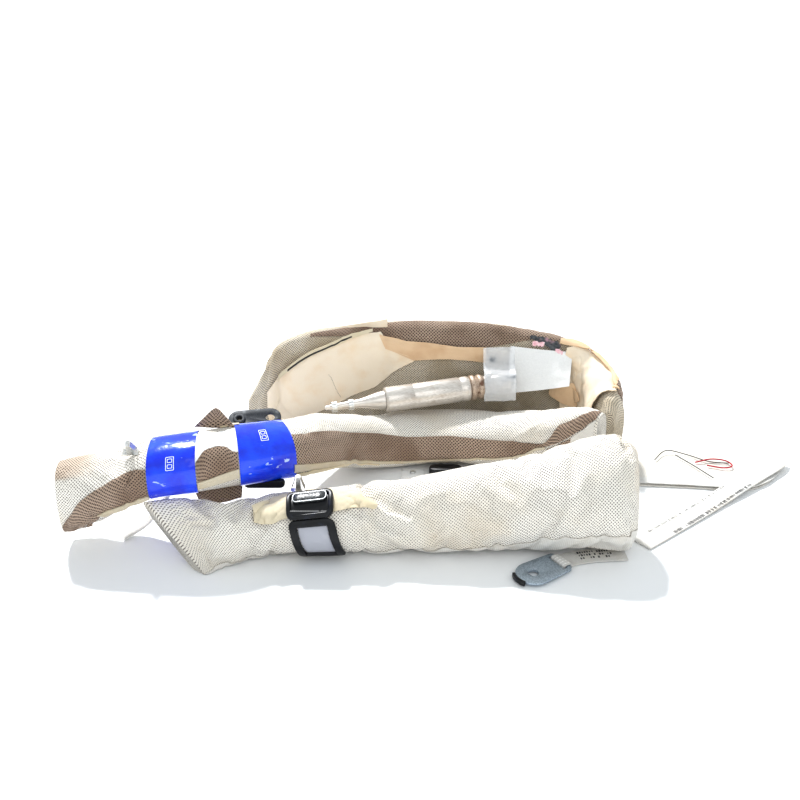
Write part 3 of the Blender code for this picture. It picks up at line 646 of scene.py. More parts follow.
def make_run(name, stations, sides, seed, wave, stretches, pressure, grow, cap):
    """A settled run. stretches are the station numbers where something holds the cloth; cap is its furthest move."""
    numbers = even_numbers(stations, RING_SPACING)
    angles = 270 + 360 * np.arange(sides) / sides
    grid = skin_points(stations, numbers, angles)
    way = unit(grid - grid.mean(axis=1, keepdims=True))
    u = arc_lengths(grid, 0)
    v = arc_lengths(grid, 1)
    calm = 1 - held(numbers, stretches)[:, None]
    grid = grid + way * (ripple(u, v, seed) * wave * calm)[..., None]
    grid[..., 2] = np.maximum(grid[..., 2], 0.0004)
    hold = np.repeat(held(numbers, stretches)[:, None], sides, 1)
    hold = np.maximum(hold, np.clip((0.006 - grid[..., 2]) / 0.006, 0, 1))
    grid = settle(name, grid, hold, pressure, grow, cap)
    grid[..., 2] = np.maximum(grid[..., 2], 0.0004)
    fine = refine(grid)
    fine[..., 2] = np.maximum(fine[..., 2], 0.0003)
    return Run(np.interp(np.arange(len(fine)) / 2, np.arange(len(numbers)), numbers), fine)


front_run = make_run("front", FRONT_RUN, sides=64, seed=3, wave=2.6 * MM, stretches=[(-1, 0.3), (2.9, 4.1), (10.7, 12)],
                     pressure=2.4, grow=0.06, cap=9 * MM)
middle_run = make_run("middle", MIDDLE_RUN, sides=54, seed=5, wave=1.4 * MM,
                      stretches=[(-1, 0.3), (2.9, 6.1), (13.6, 15)], pressure=1.2, grow=0.035, cap=5 * MM)
rear_run = make_run("rear", REAR_RUN, sides=72, seed=8, wave=1.8 * MM, stretches=[(-1, 0.4), (10.6, 12)],
                    pressure=0.8, grow=0.035, cap=5 * MM)


def dye_left_end(sleeve, run):
    """Paints where the taupe part of the knit shows through at the middle run's left end, 0 to 1."""
    spread = sleeve.data.attributes.new("dyed", "FLOAT", "POINT")
    rings, sides = run.grid.shape[:2]
    inner = (len(sleeve.data.vertices) - 2) // sides - rings
    numbers = np.concatenate((np.full(inner, -0.2), run.numbers))
    angles = (270 + 360 * np.arange(sides) / sides) % 360
    along = np.interp(numbers, (-0.2, 0.3, 1.0, 1.9, 2.9), (1.0, 0.85, 0.55, 0.3, 0.0))
    height = np.interp(angles, (60, 76, 100, 130, 146), (0.0, 1.0, 1.0, 0.7, 0.0))
    inside = np.where(numbers < 0, 1.0, 0.0)
    value = np.maximum(along[:, None] * height[None], inside[:, None])
    spread.data.foreach_set("value", np.concatenate((value.ravel(), (1.0, 0.0))).astype(np.float32))


front_sleeve = tube_piece("front_roll", front_run.grid, WHITE_MESH)
middle_sleeve = tube_piece("middle_roll", middle_run.grid, WHITE_MESH, pocket=0.030)
rear_sleeve = tube_piece("rear_roll", rear_run.grid, GREY_MESH)
dye_left_end(middle_sleeve, middle_run)
for roll, side in ((front_sleeve, "front"), (middle_sleeve, "middle"), (rear_sleeve, "rear")):
    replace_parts(roll, side + "_sleeve", side + "_cushion")
print("rolls:", [len(roll.data.polygons) for roll in (front_sleeve, middle_sleeve, rear_sleeve)], "faces")

# %% [markdown]
# ## Panels sewn on a run
# Strips, flaps and tabs are thin sheets that follow the cloth below them. Each is given by two edges, and an edge
# is a list of (station, angle) pairs. The sheet is a closed shell: a side that shows, a side below and a rim.

# %% Thin sheets
def shell(name, top, under, material, body="root"):
    """A closed thin sheet between two grids of points: the side that shows and the side below it."""
    rows, columns = top.shape[:2]
    count = rows * columns
    faces = []
    for i in range(rows - 1):
        for j in range(columns - 1):
            a = i * columns + j
            faces.append((a, a + columns, a + columns + 1, a + 1))
            faces.append((count + a, count + a + 1, count + a + columns + 1, count + a + columns))
    rim = [i * columns for i in range(rows)]
    rim += [(rows - 1) * columns + j for j in range(1, columns)]
    rim += [i * columns + columns - 1 for i in range(rows - 2, -1, -1)]
    rim += list(range(columns - 2, 0, -1))
    for a, b in zip(rim, rim[1:] + rim[:1]):
        faces.append((b, a, a + count, b + count))
    facing = np.cross(np.gradient(top, axis=0), np.gradient(top, axis=1)) * (top - under)
    if facing.sum() < 0:
        faces = [face[::-1] for face in faces]
    u = np.repeat(arc_lengths(top, 0).mean(axis=1)[:, None], columns, 1)
    flat = np.stack((u, arc_lengths(top, 1)), -1).reshape(-1, 2)
    flat = np.concatenate((flat, flat))
    metres = [flat[k] for face in faces for k in face]
    return finish_mesh(name, np.concatenate((top.reshape(-1, 3), under.reshape(-1, 3))), faces, metres, material,
                       body)


def edge_angles(edge, numbers):
    table = np.array(edge, float)
    return np.interp(numbers, table[:, 0], table[:, 1])


def between(first, last, share):
    """A grid of points whose rows run from a first line's points to a last line's."""
    return first[:, None] * (1 - share)[None, :, None] + last[:, None] * share[None, :, None]


def panel(name, run, upper, lower, lift, thick, material, fray=0.0, seed=0, sag=None):
    """A sheet on a run between two edges, each a list of (station, angle). sag adds to the lift."""
    rng = np.random.default_rng(seed)
    first, last = upper[0][0], upper[-1][0]
    inside = run.numbers[(run.numbers > first + 0.02) & (run.numbers < last - 0.02)]
    numbers = np.concatenate(([first], inside, [last]))
    high = edge_angles(upper, numbers) + fray * rng.uniform(-1, 1, len(numbers))
    low = edge_angles(lower, numbers) + fray * rng.uniform(-1, 1, len(numbers))
    columns = max(4, int(np.abs(low - high).max() / 3.2) + 1)
    across = np.linspace(0, 1, columns)
    angles = high[:, None] * (1 - across) + low[:, None] * across
    grid = np.repeat(numbers[:, None], columns, 1)
    if sag:
        lift = lift + sag(grid, np.repeat(across[None], len(numbers), 0))
    top = run.at(grid, angles, lift + thick)
    under = run.at(grid, angles, lift)
    return shell(name, top, under, material)


# %% [markdown]
# ## Woven and coated fabrics
# Webbing and hems are woven, so two sets of fine bands cross at the thread spacing. The cushion is nylon with a
# thin silicone coat, which leaves it smoother and faintly shiny, and it yellows where it has been folded.

# %% Woven and coated fabrics
def bands(tree, vector, period, direction):
    """Even stripes across a direction, 0 to 1. The texture makes 20 radians of wave per unit of its scale."""
    return add_node(tree, "ShaderNodeTexWave", {"Vector": vector, "Scale": 2 * math.pi / 20 / period},
                    wave_type="BANDS", bands_direction=direction).outputs["Fac"]


def woven_finish(name, light, dark, stain, thread, roughness=0.8, stain_amount=0.5, depth=0.0003):
    """Woven cloth: warp and weft bands at the thread spacing, uneven yarn colour, and stains."""
    made, tree, shader = start_finish(name, roughness)
    uv = metres_on_cloth(tree)
    place = object_place(tree)
    warp = bands(tree, uv, thread, "X")
    weft = bands(tree, uv, thread, "Y")
    weave = maths(tree, "MULTIPLY", warp, weft)
    base = mix_colours(tree, weave, linear(dark), linear(light))
    worn = ramp_between(tree, noise_on(tree, place, 0.03, 4.0, 3.0), 0.45, 0.75)
    worn = maths(tree, "MULTIPLY", worn, stain_amount)
    tree.links.new(mix_colours(tree, worn, base, linear(stain)), shader.inputs["Base Color"])
    creases = noise_on(tree, place, 0.012, 3.0, 5.0)
    height = maths(tree, "ADD", weave, creases)
    set_bump(tree, shader, height, depth)
    shader.inputs["Sheen Weight"].default_value = 0.1
    return made


HEM = woven_finish("cotton tape, woven cream", "#F4EEDF", "#CFC3AD", "#C9B28C", 1.3 * MM)
WEBBING = woven_finish("polyester webbing, woven white", "#F6F5F2", "#D5D3CF", "#D8C3A3", 1.5 * MM, stain_amount=0.25)
PANEL_CLOTH = woven_finish("polyester cloth, plain woven white", "#F5F3EF", "#DDD9D2", "#D8CBB8", 1.9 * MM, 0.75, 0.3)
COATED = woven_finish("nylon 66, silicone coated cream", "#FFF5E6", "#F7E9D3", "#EFD3AE", 0.9 * MM, 0.5, 0.55,
                      0.00012)
FOLDED = woven_finish("nylon 66, silicone coated and yellowed", "#F3DCC0", "#E8CAA6", "#CFA67C", 0.9 * MM, 0.5, 0.5,
                      0.00012)
TAB_CLOTH = woven_finish("polyester felt tab, cream", "#F7EFDB", "#E6D9BD", "#DBC294", 0.8 * MM, 0.7, 0.35, 0.0002)
# Painted shade: a dark cloth laid where a slot opens, standing for the shade inside it.
SLOT_SHADE_CLOTH = woven_finish("slot, painted shade", "#5A5550", "#3B3835", "#2B2826", 1.0 * MM)
LINING = woven_finish("nonwoven lining, grey white", "#E9E9EE", "#B9BAC2", "#F3F2F0", 1.7 * MM, 0.7, 0.5)

# %% [markdown]
# ## Brown strips and hems on the middle run
# A strip of taupe mesh, cut from the same knit as the sleeve but dyed, runs along the front of the middle run.
# A folded cotton tape binds its lower edge. Both taper where the roll twists at its right end.

# %% Strips of the middle run
GAP = 0.5 * MM
MESH_THICK = 0.7 * MM


def taupe_strip(name, run, upper, lower):
    return panel(name, run, upper, lower, GAP, MESH_THICK, BROWN_MESH)


def hem_tape(name, upper, lower):
    panel(name, middle_run, upper, lower, GAP + 0.9 * MM, 1.3 * MM, HEM)


taupe_strip("taupe_strip_middle", middle_run,
            [(5.95, 118), (6.6, 126), (7.4, 136), (8.2, 136), (8.95, 144), (9.85, 144), (10.45, 154), (10.9, 157),
             (11.35, 160), (11.7, 170), (12.0, 176), (12.25, 176), (12.42, 166), (12.6, 138), (12.9, 128), (13.35, 96),
             (13.8, 74)],
            [(5.95, 186), (7.3, 200), (8.95, 197), (9.85, 195), (10.95, 192), (11.7, 189), (11.9, 184), (12.25, 181),
             (12.65, 176), (13.25, 156), (13.8, 120)])
hem_tape("hem_tape_right", [(5.95, 182), (7.3, 197), (8.95, 195), (9.85, 192), (10.95, 190), (11.7, 187), (12.0, 182),
          (12.3, 180)],
         [(5.95, 200), (7.3, 206), (8.95, 200), (9.85, 197), (10.95, 194), (11.7, 191), (12.0, 186),
          (12.3, 183)])
taupe_strip("taupe_strip_left", middle_run,
            [(0.10, 214), (0.35, 200), (0.65, 188), (1.0, 174), (1.5, 158), (2.05, 143), (2.5, 139), (2.98, 151)],
            [(0.10, 232), (0.35, 232), (0.65, 226), (1.0, 222), (1.5, 214), (2.05, 206), (2.5, 207), (2.98, 211)])
hem_tape("hem_tape_left", [(1.5, 196), (1.8, 194), (2.45, 200), (2.98, 205)],
         [(1.5, 209), (1.8, 208), (2.45, 215), (2.98, 219)])
taupe_strip("taupe_strip_tape_gap", middle_run,
            [(4.02, 150), (4.1, 140), (4.2, 128), (4.35, 124), (4.6, 124), (4.75, 127), (4.88, 140), (4.98, 143)],
            [(4.02, 190), (4.3, 186), (4.7, 180), (4.98, 178)])
hem_tape("hem_tape_gap", [(4.02, 187), (4.5, 181), (4.98, 176)], [(4.02, 204), (4.5, 197), (4.98, 190)])
panel("plain_hem_left", front_run, [(0.3, 244), (1.2, 240), (2.7, 238)], [(0.3, 270), (1.2, 266), (2.7, 262)],
      GAP, 0.6 * MM, PANEL_CLOTH)
panel("plain_hem_right", front_run, [(4.25, 240), (5.5, 236), (7.0, 230), (8.5, 224), (10.0, 221), (10.9, 224)],
      [(4.25, 262), (5.5, 264), (7.0, 266), (8.5, 268), (10.0, 268), (10.9, 266)],
      GAP, 0.6 * MM, PANEL_CLOTH)
panel("plain_end_right", middle_run,
      [(12.95, 170), (13.25, 159), (13.8, 124)], [(12.95, 206), (13.25, 202), (13.8, 190)],
      GAP, MESH_THICK, PANEL_CLOTH)
taupe_strip("taupe_end_right", middle_run,
            [(12.35, 184), (12.65, 179), (12.95, 171)], [(12.35, 196), (12.65, 200), (12.95, 206)])
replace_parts(bpy.data.objects["taupe_strip_middle"], "middle_brown_strip")
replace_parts(bpy.data.objects["taupe_strip_left"], "left_end_brown_strip")
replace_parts(bpy.data.objects["taupe_strip_tape_gap"], "tape_gap_brown_strip")
print("middle run is", round(float(arc_lengths(middle_run.grid, 0)[-1].mean()), 3), "m long")

# %% [markdown]
# ## Packing tape and the paper between
# Two bands of 48 mm polypropylene tape hold the fold. Tape that has been wound over cloth lifts in places. The pale
# streaks on it are a painted highlight: glare off the glossy film, painted into its colour. The film is glossy and the
# colour lies below it.

# %% Tape and paper
tape_film, tree, shader = start_finish("polypropylene packing tape, cast blue", 0.22)
uv = metres_on_cloth(tree)
place = object_place(tree)
stretched = add_node(tree, "ShaderNodeMapping", {"Vector": place, "Scale": (0.35, 1.0, 1.0)}).outputs["Vector"]
# The pale streaks are a painted highlight: glare off the glossy film, painted into the tape's colour. The bands below
# only line the streaks up along the tape; they are not lifted film.
band = bands(tree, uv, 60 * MM, "Y")
lifted = maths(tree, "MULTIPLY", band, 0.10)
glare_noise = maths(tree, "ADD", noise_on(tree, stretched, 0.0075, 5.0, 2.0), lifted)
painted_glare_streak = ramp_between(tree, glare_noise, 0.70, 0.74)
haze = ramp_between(tree, noise_on(tree, place, 0.022, 3.0, 4.0), 0.35, 0.7)
blue = mix_colours(tree, haze, linear("#0A35DC"), linear("#1557FA"))
tree.links.new(mix_colours(tree, painted_glare_streak, blue, linear("#C3D8FB")), shader.inputs["Base Color"])
set_bump(tree, shader, noise_on(tree, uv, 0.011, 3.0), 0.0008, 0.6)
shader.inputs["Coat Weight"].default_value = 0.6
shader.inputs["Coat Roughness"].default_value = 0.06

paper_sheet, tree, shader = start_finish("white paper, calendered", 0.7)
place = object_place(tree)
fibres = noise_on(tree, place, 0.0016, 4.0)
tree.links.new(mix_colours(tree, fibres, linear("#E9E9E8"), linear("#FBFBFA")), shader.inputs["Base Color"])
creased = noise_on(tree, place, 0.016, 2.0)
set_bump(tree, shader, creased, 0.0016)


TAPE_START = 20  # degrees, at the back of the roll
TAPE_LAP = 18
TAPE_FILM = 0.15 * MM
TAPE_LIFT = 1.1 * MM


def tape_band(name, first, last):
    """Tape wound once round the roll, with a lifted overlap at the back."""
    numbers = np.linspace(first, last, 26)
    angles = np.linspace(TAPE_START, TAPE_START + 360 + TAPE_LAP, 150)
    grid = np.repeat(numbers[:, None], len(angles), 1)
    turned = np.repeat(angles[None], len(numbers), 0)
    lap = np.clip((turned - 372) / 10, 0, 1) * 3 * TAPE_FILM
    loose = np.clip(ripple(grid * 0.048, turned * 0.0006, int(first), 12, 0.014, 0.05), 0, 1) * 0.5 * MM
    lift = TAPE_LIFT + lap + loose
    top = middle_run.at(grid, turned, lift + TAPE_FILM)
    under = middle_run.at(grid, turned, lift)
    band = shell(name, top, under, tape_film)
    return band


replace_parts(tape_band("tape_band_left", 3, 4), "blue_tape_left")
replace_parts(tape_band("tape_band_right", 5, 6), "blue_tape_right")
patch = panel("paper_patch_torn", middle_run,
              [(4.0, 84), (4.5, 88), (5.0, 84)],
              [(4.0, 152), (4.1, 140), (4.2, 128), (4.35, 123), (4.6, 122), (4.72, 128), (4.86, 142), (5.0, 143)],
              0.6 * MM, 0.5 * MM, paper_sheet, fray=1.2, seed=4)
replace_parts(patch, "paper_patch")
print("tape bands and paper patch are on")

# %% [markdown]
# ## The rear run's strip, flap and folds
# Behind the inflator the cushion itself hangs out of its sleeve: a cream flap with a seam, a yellowed fold beside
# it, and a gathered end by the label.

# %% Rear run
taupe_strip("taupe_strip_rear", rear_run,
            [(2.6, 104), (3.15, 100), (3.6, 96), (4.3, 90), (5.1, 92), (5.55, 94), (6.4, 84), (7.0, 70), (7.6, 58),
             (8.2, 50), (8.8, 44), (9.6, 40)],
            [(2.6, 112), (3.15, 122), (3.6, 128), (4.1, 139), (4.85, 146), (5.35, 144), (6.4, 112), (7.0, 102),
             (7.6, 88), (8.2, 84), (8.8, 82), (9.6, 66)])
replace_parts(bpy.data.objects["taupe_strip_rear"], "rear_brown_strip")


def soft_waves(seed, height, finest=0.03, coarsest=0.11):
    """A lift for hanging cloth: broad waves that never go below the lift itself."""
    def lift(numbers, across):
        return (1 + ripple(numbers * 0.06, across * 0.05, seed, 9, finest, coarsest)) * height / 2
    return lift


FLAP_TOP = [(1.3, 168), (2.05, 158), (3.3, 125), (3.72, 121), (3.78, 134), (3.9, 152), (4.2, 160)]
FLAP_LOW = [(1.3, 236), (2.6, 218), (3.1, 200), (3.65, 184), (3.9, 174), (4.05, 169), (4.2, 164)]
flap = panel("cushion_flap_cloth", rear_run, FLAP_TOP, FLAP_LOW, 1.6 * MM, 1.0 * MM, COATED,
             sag=soft_waves(3, 3.0 * MM))
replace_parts(flap, "cushion_flap")
fold = panel("cushion_fold_cloth", rear_run,
             [(3.70, 126), (3.75, 128), (4.1, 138), (4.85, 145), (5.3, 144)],
             [(3.70, 129), (3.78, 148), (4.2, 163), (4.7, 161), (5.3, 163)],
             2.6 * MM, 0.9 * MM, FOLDED, sag=soft_waves(5, 2.0 * MM))
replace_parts(fold, "cushion_throat")
gather = panel("gathered_end_cloth", rear_run,
               [(7.0, 118), (7.4, 100), (8.0, 90), (8.8, 84), (9.7, 78)],
               [(7.0, 196), (7.4, 200), (8.0, 204), (8.8, 206), (9.7, 200)],
               1.6 * MM, 1.0 * MM, COATED, sag=soft_waves(9, 7.0 * MM, 0.03, 0.10))
panel("gathered_end_rim", rear_run, [(6.75, 104), (7.0, 100), (7.6, 92), (8.2, 86), (8.8, 82), (9.7, 76)],
      [(6.75, 116), (7.0, 113), (7.6, 104), (8.2, 98), (8.8, 93), (9.7, 86)],
      7.2 * MM, 1.2 * MM, FOLDED, sag=soft_waves(4, 2.0 * MM, 0.03, 0.09))
panel("gathered_end_leaf", rear_run, [(6.7, 181), (7.1, 172), (7.7, 166), (8.2, 172)],
      [(6.7, 184), (7.1, 188), (7.7, 188), (8.2, 176)], 9.0 * MM, 1.2 * MM, FOLDED)
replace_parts(gather, "gathered_fabric")


def cloth_area(piece):
    """Half the area of a closed thin sheet: the size of the cloth it was cut from."""
    return sum(face.area for face in piece.data.polygons) / 2


def declare_sheet(piece):
    corners = np.array([vertex.co for vertex in piece.data.vertices])
    length = float(np.ptp(corners, axis=0).max())
    area = cloth_area(piece)
    width = max(area / length, 0.012)
    print(piece.name, "sheet", round(width, 3), "x", round(length, 3), "m")


for piece in (flap, fold, gather):
    declare_sheet(piece)

panel("rear_slot_strip", rear_run, [(1.75, 160), (2.05, 154), (2.6, 138), (3.3, 122), (3.6, 116)],
      [(1.75, 167), (2.05, 161), (2.6, 146), (3.3, 130), (3.6, 121)], 6.2 * MM, 1.2 * MM, TAB_CLOTH)
# The dark strip along the tab is painted shade: the shade inside its slot, drawn as a thin dark sheet.
panel("rear_slot_dark", rear_run, [(2.1, 156), (2.6, 142), (3.3, 126)], [(2.1, 159), (2.6, 144.5), (3.3, 128)],
      7.3 * MM, 0.3 * MM, SLOT_SHADE_CLOTH)


CARD_TILT = np.array(((4.4, 24.4), (4.4, 24.4))) * MM  # the lower edge stands off the roll
card_corners = rear_run.at(np.array(((5.7, 5.7), (7.2, 7.3))), np.array(((137.0, 184.0), (122.0, 172.0))), CARD_TILT)
share = np.linspace(0, 1, 14)
card_sides = card_corners[0] * (1 - share)[:, None, None] + card_corners[1] * share[:, None, None]
card_grid = between(card_sides[:, 0], card_sides[:, 1], share)
card_grid[..., 1] -= 1.5 * MM * np.sin(math.pi * share)[:, None]
card = shell("label_card_sheet", card_grid + np.array((0, -0.0003, 0.0004)), card_grid, paper_sheet)
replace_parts(card, "label_card")
declare_sheet(card)
print("rear run dressed")

# %% [markdown]
# ## Metals, plastics and film
# Each hard part has the finish that its maker gives it: zinc plate is bluish with a fine spangle, the inflator's
# tube is drawn and then stained by heat and rust near its crimp, the bracket is phosphated dark grey, and the
# retainer is moulded in black nylon.

# %% Hard finishes
def hard_finish(name, light, dark, roughness, metallic, grain, stretch=1.0, depth=0.00005, spots="#000000",
                spot_amount=0.0, spot_size=0.012):
    """A hard surface: fine grain of two tones, stretched along X for drawn metal, and wear spots."""
    made, tree, shader = start_finish(name, roughness, metallic)
    place = object_place(tree)
    pulled = add_node(tree, "ShaderNodeMapping", {"Vector": place, "Scale": (1 / stretch, 1.0, 1.0)}).outputs["Vector"]
    fine = noise_on(tree, pulled, grain, 4.0)
    tone = mix_colours(tree, ramp_between(tree, fine, 0.3, 0.7), linear(dark), linear(light))
    mark = ramp_between(tree, noise_on(tree, place, spot_size, 5.0, 9.0), 0.55, 0.68)
    mark = maths(tree, "MULTIPLY", mark, spot_amount)
    tree.links.new(mix_colours(tree, mark, tone, linear(spots)), shader.inputs["Base Color"])
    rough = add_node(tree, "ShaderNodeMapRange", {"Value": fine, "To Min": roughness - 0.08, "To Max": roughness + 0.1})
    tree.links.new(rough.outputs["Result"], shader.inputs["Roughness"])
    set_bump(tree, shader, fine, depth)
    return made


ZINC = hard_finish("steel, zinc plated", "#C9D3DC", "#98A6B2", 0.38, 0.75, 1.2 * MM, spots="#7F8A93", spot_amount=0.5)
TUBE = hard_finish("steel tube, cold drawn", "#E9E4DE", "#CFC8C0", 0.30, 0.6, 0.7 * MM, 14.0, 0.000008, "#A6907D",
                   0.30, 0.014)
RUSTY = hard_finish("steel, crimped and heat stained", "#D9CBBD", "#AE9681", 0.42, 0.5, 0.9 * MM, 1.0, 0.00003,
                    "#6B4632", 0.85, 0.007)
SPRING = hard_finish("spring steel, bright rolled", "#F1F1EF", "#C9C9C7", 0.28, 0.85, 0.7 * MM, 6.0)
PHOSPHATE = hard_finish("steel, zinc phosphated", "#4E5155", "#2E3033", 0.5, 0.3, 0.9 * MM, spots="#8B8E90",
                        spot_amount=0.4)
NYLON = hard_finish("nylon, moulded black", "#1B1C21", "#0C0D10", 0.36, 0.0, 0.5 * MM, depth=0.00003,
                    spots="#3A3F52", spot_amount=0.35)
PAD = hard_finish("rubber pad, moulded grey", "#55585A", "#232527", 0.3, 0.0, 2.2 * MM, depth=0.0003)
# Painted highlight: a pale silver colour that stands for light caught on the window pad's edge.
HIGHLIGHT_RIM = hard_finish("nylon edge, painted silver highlight", "#D5D7D8", "#8F9396", 0.3, 0.4, 1.5 * MM)
INK_BLACK = hard_finish("textile ink, printed black", "#2A2A2C", "#5A5A5C", 0.7, 0.0, 0.8 * MM)
INK_WHITE = hard_finish("film ink, printed white", "#FFFFFF", "#DCE6FA", 0.45, 0.0, 0.8 * MM)
THREAD_DARK = hard_finish("polyester thread, spun black", "#3A3A3C", "#1B1B1C", 0.75, 0.0, 0.6 * MM)
THREAD_RED = hard_finish("polyester thread, spun red", "#D01F3C", "#A01028", 0.75, 0.0, 0.6 * MM)
THREAD_CREAM = hard_finish("polyester thread, spun cream", "#F3EAD8", "#C9BA9C", 0.75, 0.0, 0.6 * MM)
CHARCOAL = hard_finish("sticker backing, torn grey", "#6C6F72", "#3F4245", 0.6, 0.0, 3 * MM, spots="#C7A0A8",
                       spot_amount=0.8)
PINK = hard_finish("marker wax, pink", "#F3B9C4", "#FBE4E6", 0.6, 0.0, 5 * MM)

film, tree, shader = start_finish("polyethylene pouch, blown clear", 0.16)
place = object_place(tree)
smudge = ramp_between(tree, noise_on(tree, place, 0.016, 5.0, 6.0), 0.52, 0.70)
tree.links.new(mix_colours(tree, smudge, linear("#F3F4F6"), linear("#8E9296")), shader.inputs["Base Color"])
veil = add_node(tree, "ShaderNodeMapRange", {"Value": smudge, "To Min": 0.42, "To Max": 0.85})
tree.links.new(veil.outputs["Result"], shader.inputs["Alpha"])
set_bump(tree, shader, noise_on(tree, place, 0.006, 3.0), 0.0012)

# %% [markdown]
# ## Carried-over hard parts
# Where the frame's part already has the right shape, a copy of it gets its edges rounded, because no stamped or
# moulded edge is sharp and a rounded one catches the light. The copy is merged first, since the frame's meshes
# are loose triangles.

# %% Rounded copies
BODIES = frame["record"]["behaviour"]["bodies"]
SHARP_TURN = 30  # degrees between two faces whose edge gets rounded


def rounded_copy(node, edge, material, slot):
    """A copy of a frame part with rounded edges, which stands for it."""
    obj = bpy.data.objects[node].copy()
    obj.data = bpy.data.objects[node].data.copy()
    obj.name = node + "_finished"
    for key in list(obj.keys()):
        if key.startswith("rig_"):
            del obj[key]
    obj.parent = None
    scene.collection.objects.link(obj)
    work = bmesh.new()
    work.from_mesh(obj.data)
    bmesh.ops.remove_doubles(work, verts=work.verts, dist=0.00002)
    bmesh.ops.dissolve_limit(work, angle_limit=math.radians(2), verts=work.verts, edges=work.edges)
    sharp = [e for e in work.edges if len(e.link_faces) == 2 and e.calc_face_angle(0) > math.radians(SHARP_TURN)]
    bmesh.ops.bevel(work, geom=sharp, offset=edge, segments=2, profile=0.5, affect="EDGES",
                    clamp_overlap=True)
    bmesh.ops.recalc_face_normals(work, faces=work.faces)
    work.to_mesh(obj.data)
    work.free()
    obj.data.shade_smooth()
    obj.data.set_sharp_from_angle(angle=math.radians(35))
    painted(material, obj)
    obj.hide_render = False
    obj.hide_viewport = False
    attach(obj, next(body for body, nodes in BODIES.items() if node in nodes))
    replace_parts(obj, node)
    return obj


for node, edge, material, slot in (
        ("anchor_plate", 0.5 * MM, ZINC, "zinc_steel"), ("bracket_plate", 0.5 * MM, PHOSPHATE, "grey_steel"),
        ("bracket_rivet", 0.3 * MM, PHOSPHATE, "grey_steel"), ("bolt_keeper", 0.4 * MM, NYLON, "black_plastic"),
        ("tab_clip_body", 0.8 * MM, NYLON, "black_plastic"), ("tab_rivet_left", 0.2 * MM, SPRING, "spring_steel"),
        ("tab_rivet_right", 0.2 * MM, SPRING, "spring_steel"),
        ("mounting_tab_left", 0.3 * MM, paper_sheet, "paper"), ("mounting_tab_right", 0.3 * MM, paper_sheet, "paper")):
    rounded_copy(node, edge, material, slot)
print("rounded the stamped and moulded parts")

# %% [markdown]
# ## Inflator
# The gas generator is a drawn tube rolled down over a ring at its mouth. It is turned work, so a profile spun
# round the axis makes it, with the crimp's grooves cut into the profile.

# %% Inflator
TUBE_LEFT = np.array((-0.063, 0.093, 0.071)) - ORIGIN
TUBE_RIGHT = np.array((0.089, 0.128, 0.077)) - ORIGIN
TUBE_WAY = unit(TUBE_RIGHT - TUBE_LEFT)


INFLATOR_SIDES = 72


def spun(name, profile, material, slot, *nodes):
    """A closed profile of (distance along the inflator, radius) spun round the inflator's axis."""
    across = unit(np.cross((0.0, 0.0, 1.0), TUBE_WAY))
    upward = np.cross(TUBE_WAY, across)
    sides = INFLATOR_SIDES
    turn = 2 * math.pi * np.arange(sides) / sides
    profile = np.array(profile, float)
    round_it = np.cos(turn)[:, None] * across + np.sin(turn)[:, None] * upward
    points = TUBE_LEFT + profile[:, None, :1] * TUBE_WAY + profile[:, None, 1:] * round_it[None]
    count = len(profile)
    faces = []
    metres = []
    girth = 2 * math.pi * profile[:, 1].max() / sides
    for i in range(count):
        for j in range(sides):
            k, n = (i + 1) % count, (j + 1) % sides
            faces.append((i * sides + j, i * sides + n, k * sides + n, k * sides + j))
            metres += [(profile[i, 0], j * girth), (profile[i, 0], (j + 1) * girth),
                       (profile[k, 0], (j + 1) * girth), (profile[k, 0], j * girth)]
    area = 0.0
    for (x0, r0), (x1, r1) in zip(profile, np.roll(profile, -1, axis=0)):
        area += x0 * r1 - x1 * r0
    if area < 0:
        faces = [face[::-1] for face in faces]
        metres = [metres[4 * k + m] for k in range(len(faces)) for m in (3, 2, 1, 0)]
    piece = finish_mesh(name, points.reshape(-1, 3), faces, metres, material, "root")
    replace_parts(piece, *nodes)
    return piece


# %% Tube, crimp, cap and lance
TUBE_R = 15.0 * MM
TUBE_LONG = 104.0 * MM
CRIMP_AT = TUBE_LONG + 0.4 * MM
CAP_AT = CRIMP_AT + 16.4 * MM
CAP_R = 12.5 * MM
CAP_LONG = 34.0 * MM
LANCE_R = 5.0 * MM

spun("inflator_body", [
    (0, 0.0108), (0, 0.0128), (0.0006, 0.0138), (0.0018, 0.0147), (0.0035, TUBE_R), (0.0340, TUBE_R), (0.0346, 0.01475),
    (0.0352, TUBE_R), (0.0900, TUBE_R), (0.0912, 0.0145), (0.0924, 0.0142), (0.0936, 0.0145), (0.0948, TUBE_R),
    (0.1000, TUBE_R), (0.1022, 0.0147), (0.1036, 0.0138), (TUBE_LONG, 0.0128), (TUBE_LONG, 0.0108)],
    TUBE, "tube_steel", "inflator_tube")
spun("crimp_collar", [
    (CRIMP_AT, 0.0082), (CRIMP_AT, 0.0134), (CRIMP_AT + 0.0008, 0.0145), (CRIMP_AT + 0.0022, TUBE_R),
    (CRIMP_AT + 0.0044, TUBE_R), (CRIMP_AT + 0.0058, 0.0145), (CRIMP_AT + 0.0068, 0.0131), (CRIMP_AT + 0.0086, 0.0129),
    (CRIMP_AT + 0.0098, 0.0143), (CRIMP_AT + 0.0112, 0.0149), (CRIMP_AT + 0.0135, 0.0149), (CRIMP_AT + 0.0150, 0.0142),
    (CRIMP_AT + 0.0160, 0.0130), (CRIMP_AT + 0.0160, 0.0082)],
    RUSTY, "tube_steel", "crimp_ring")
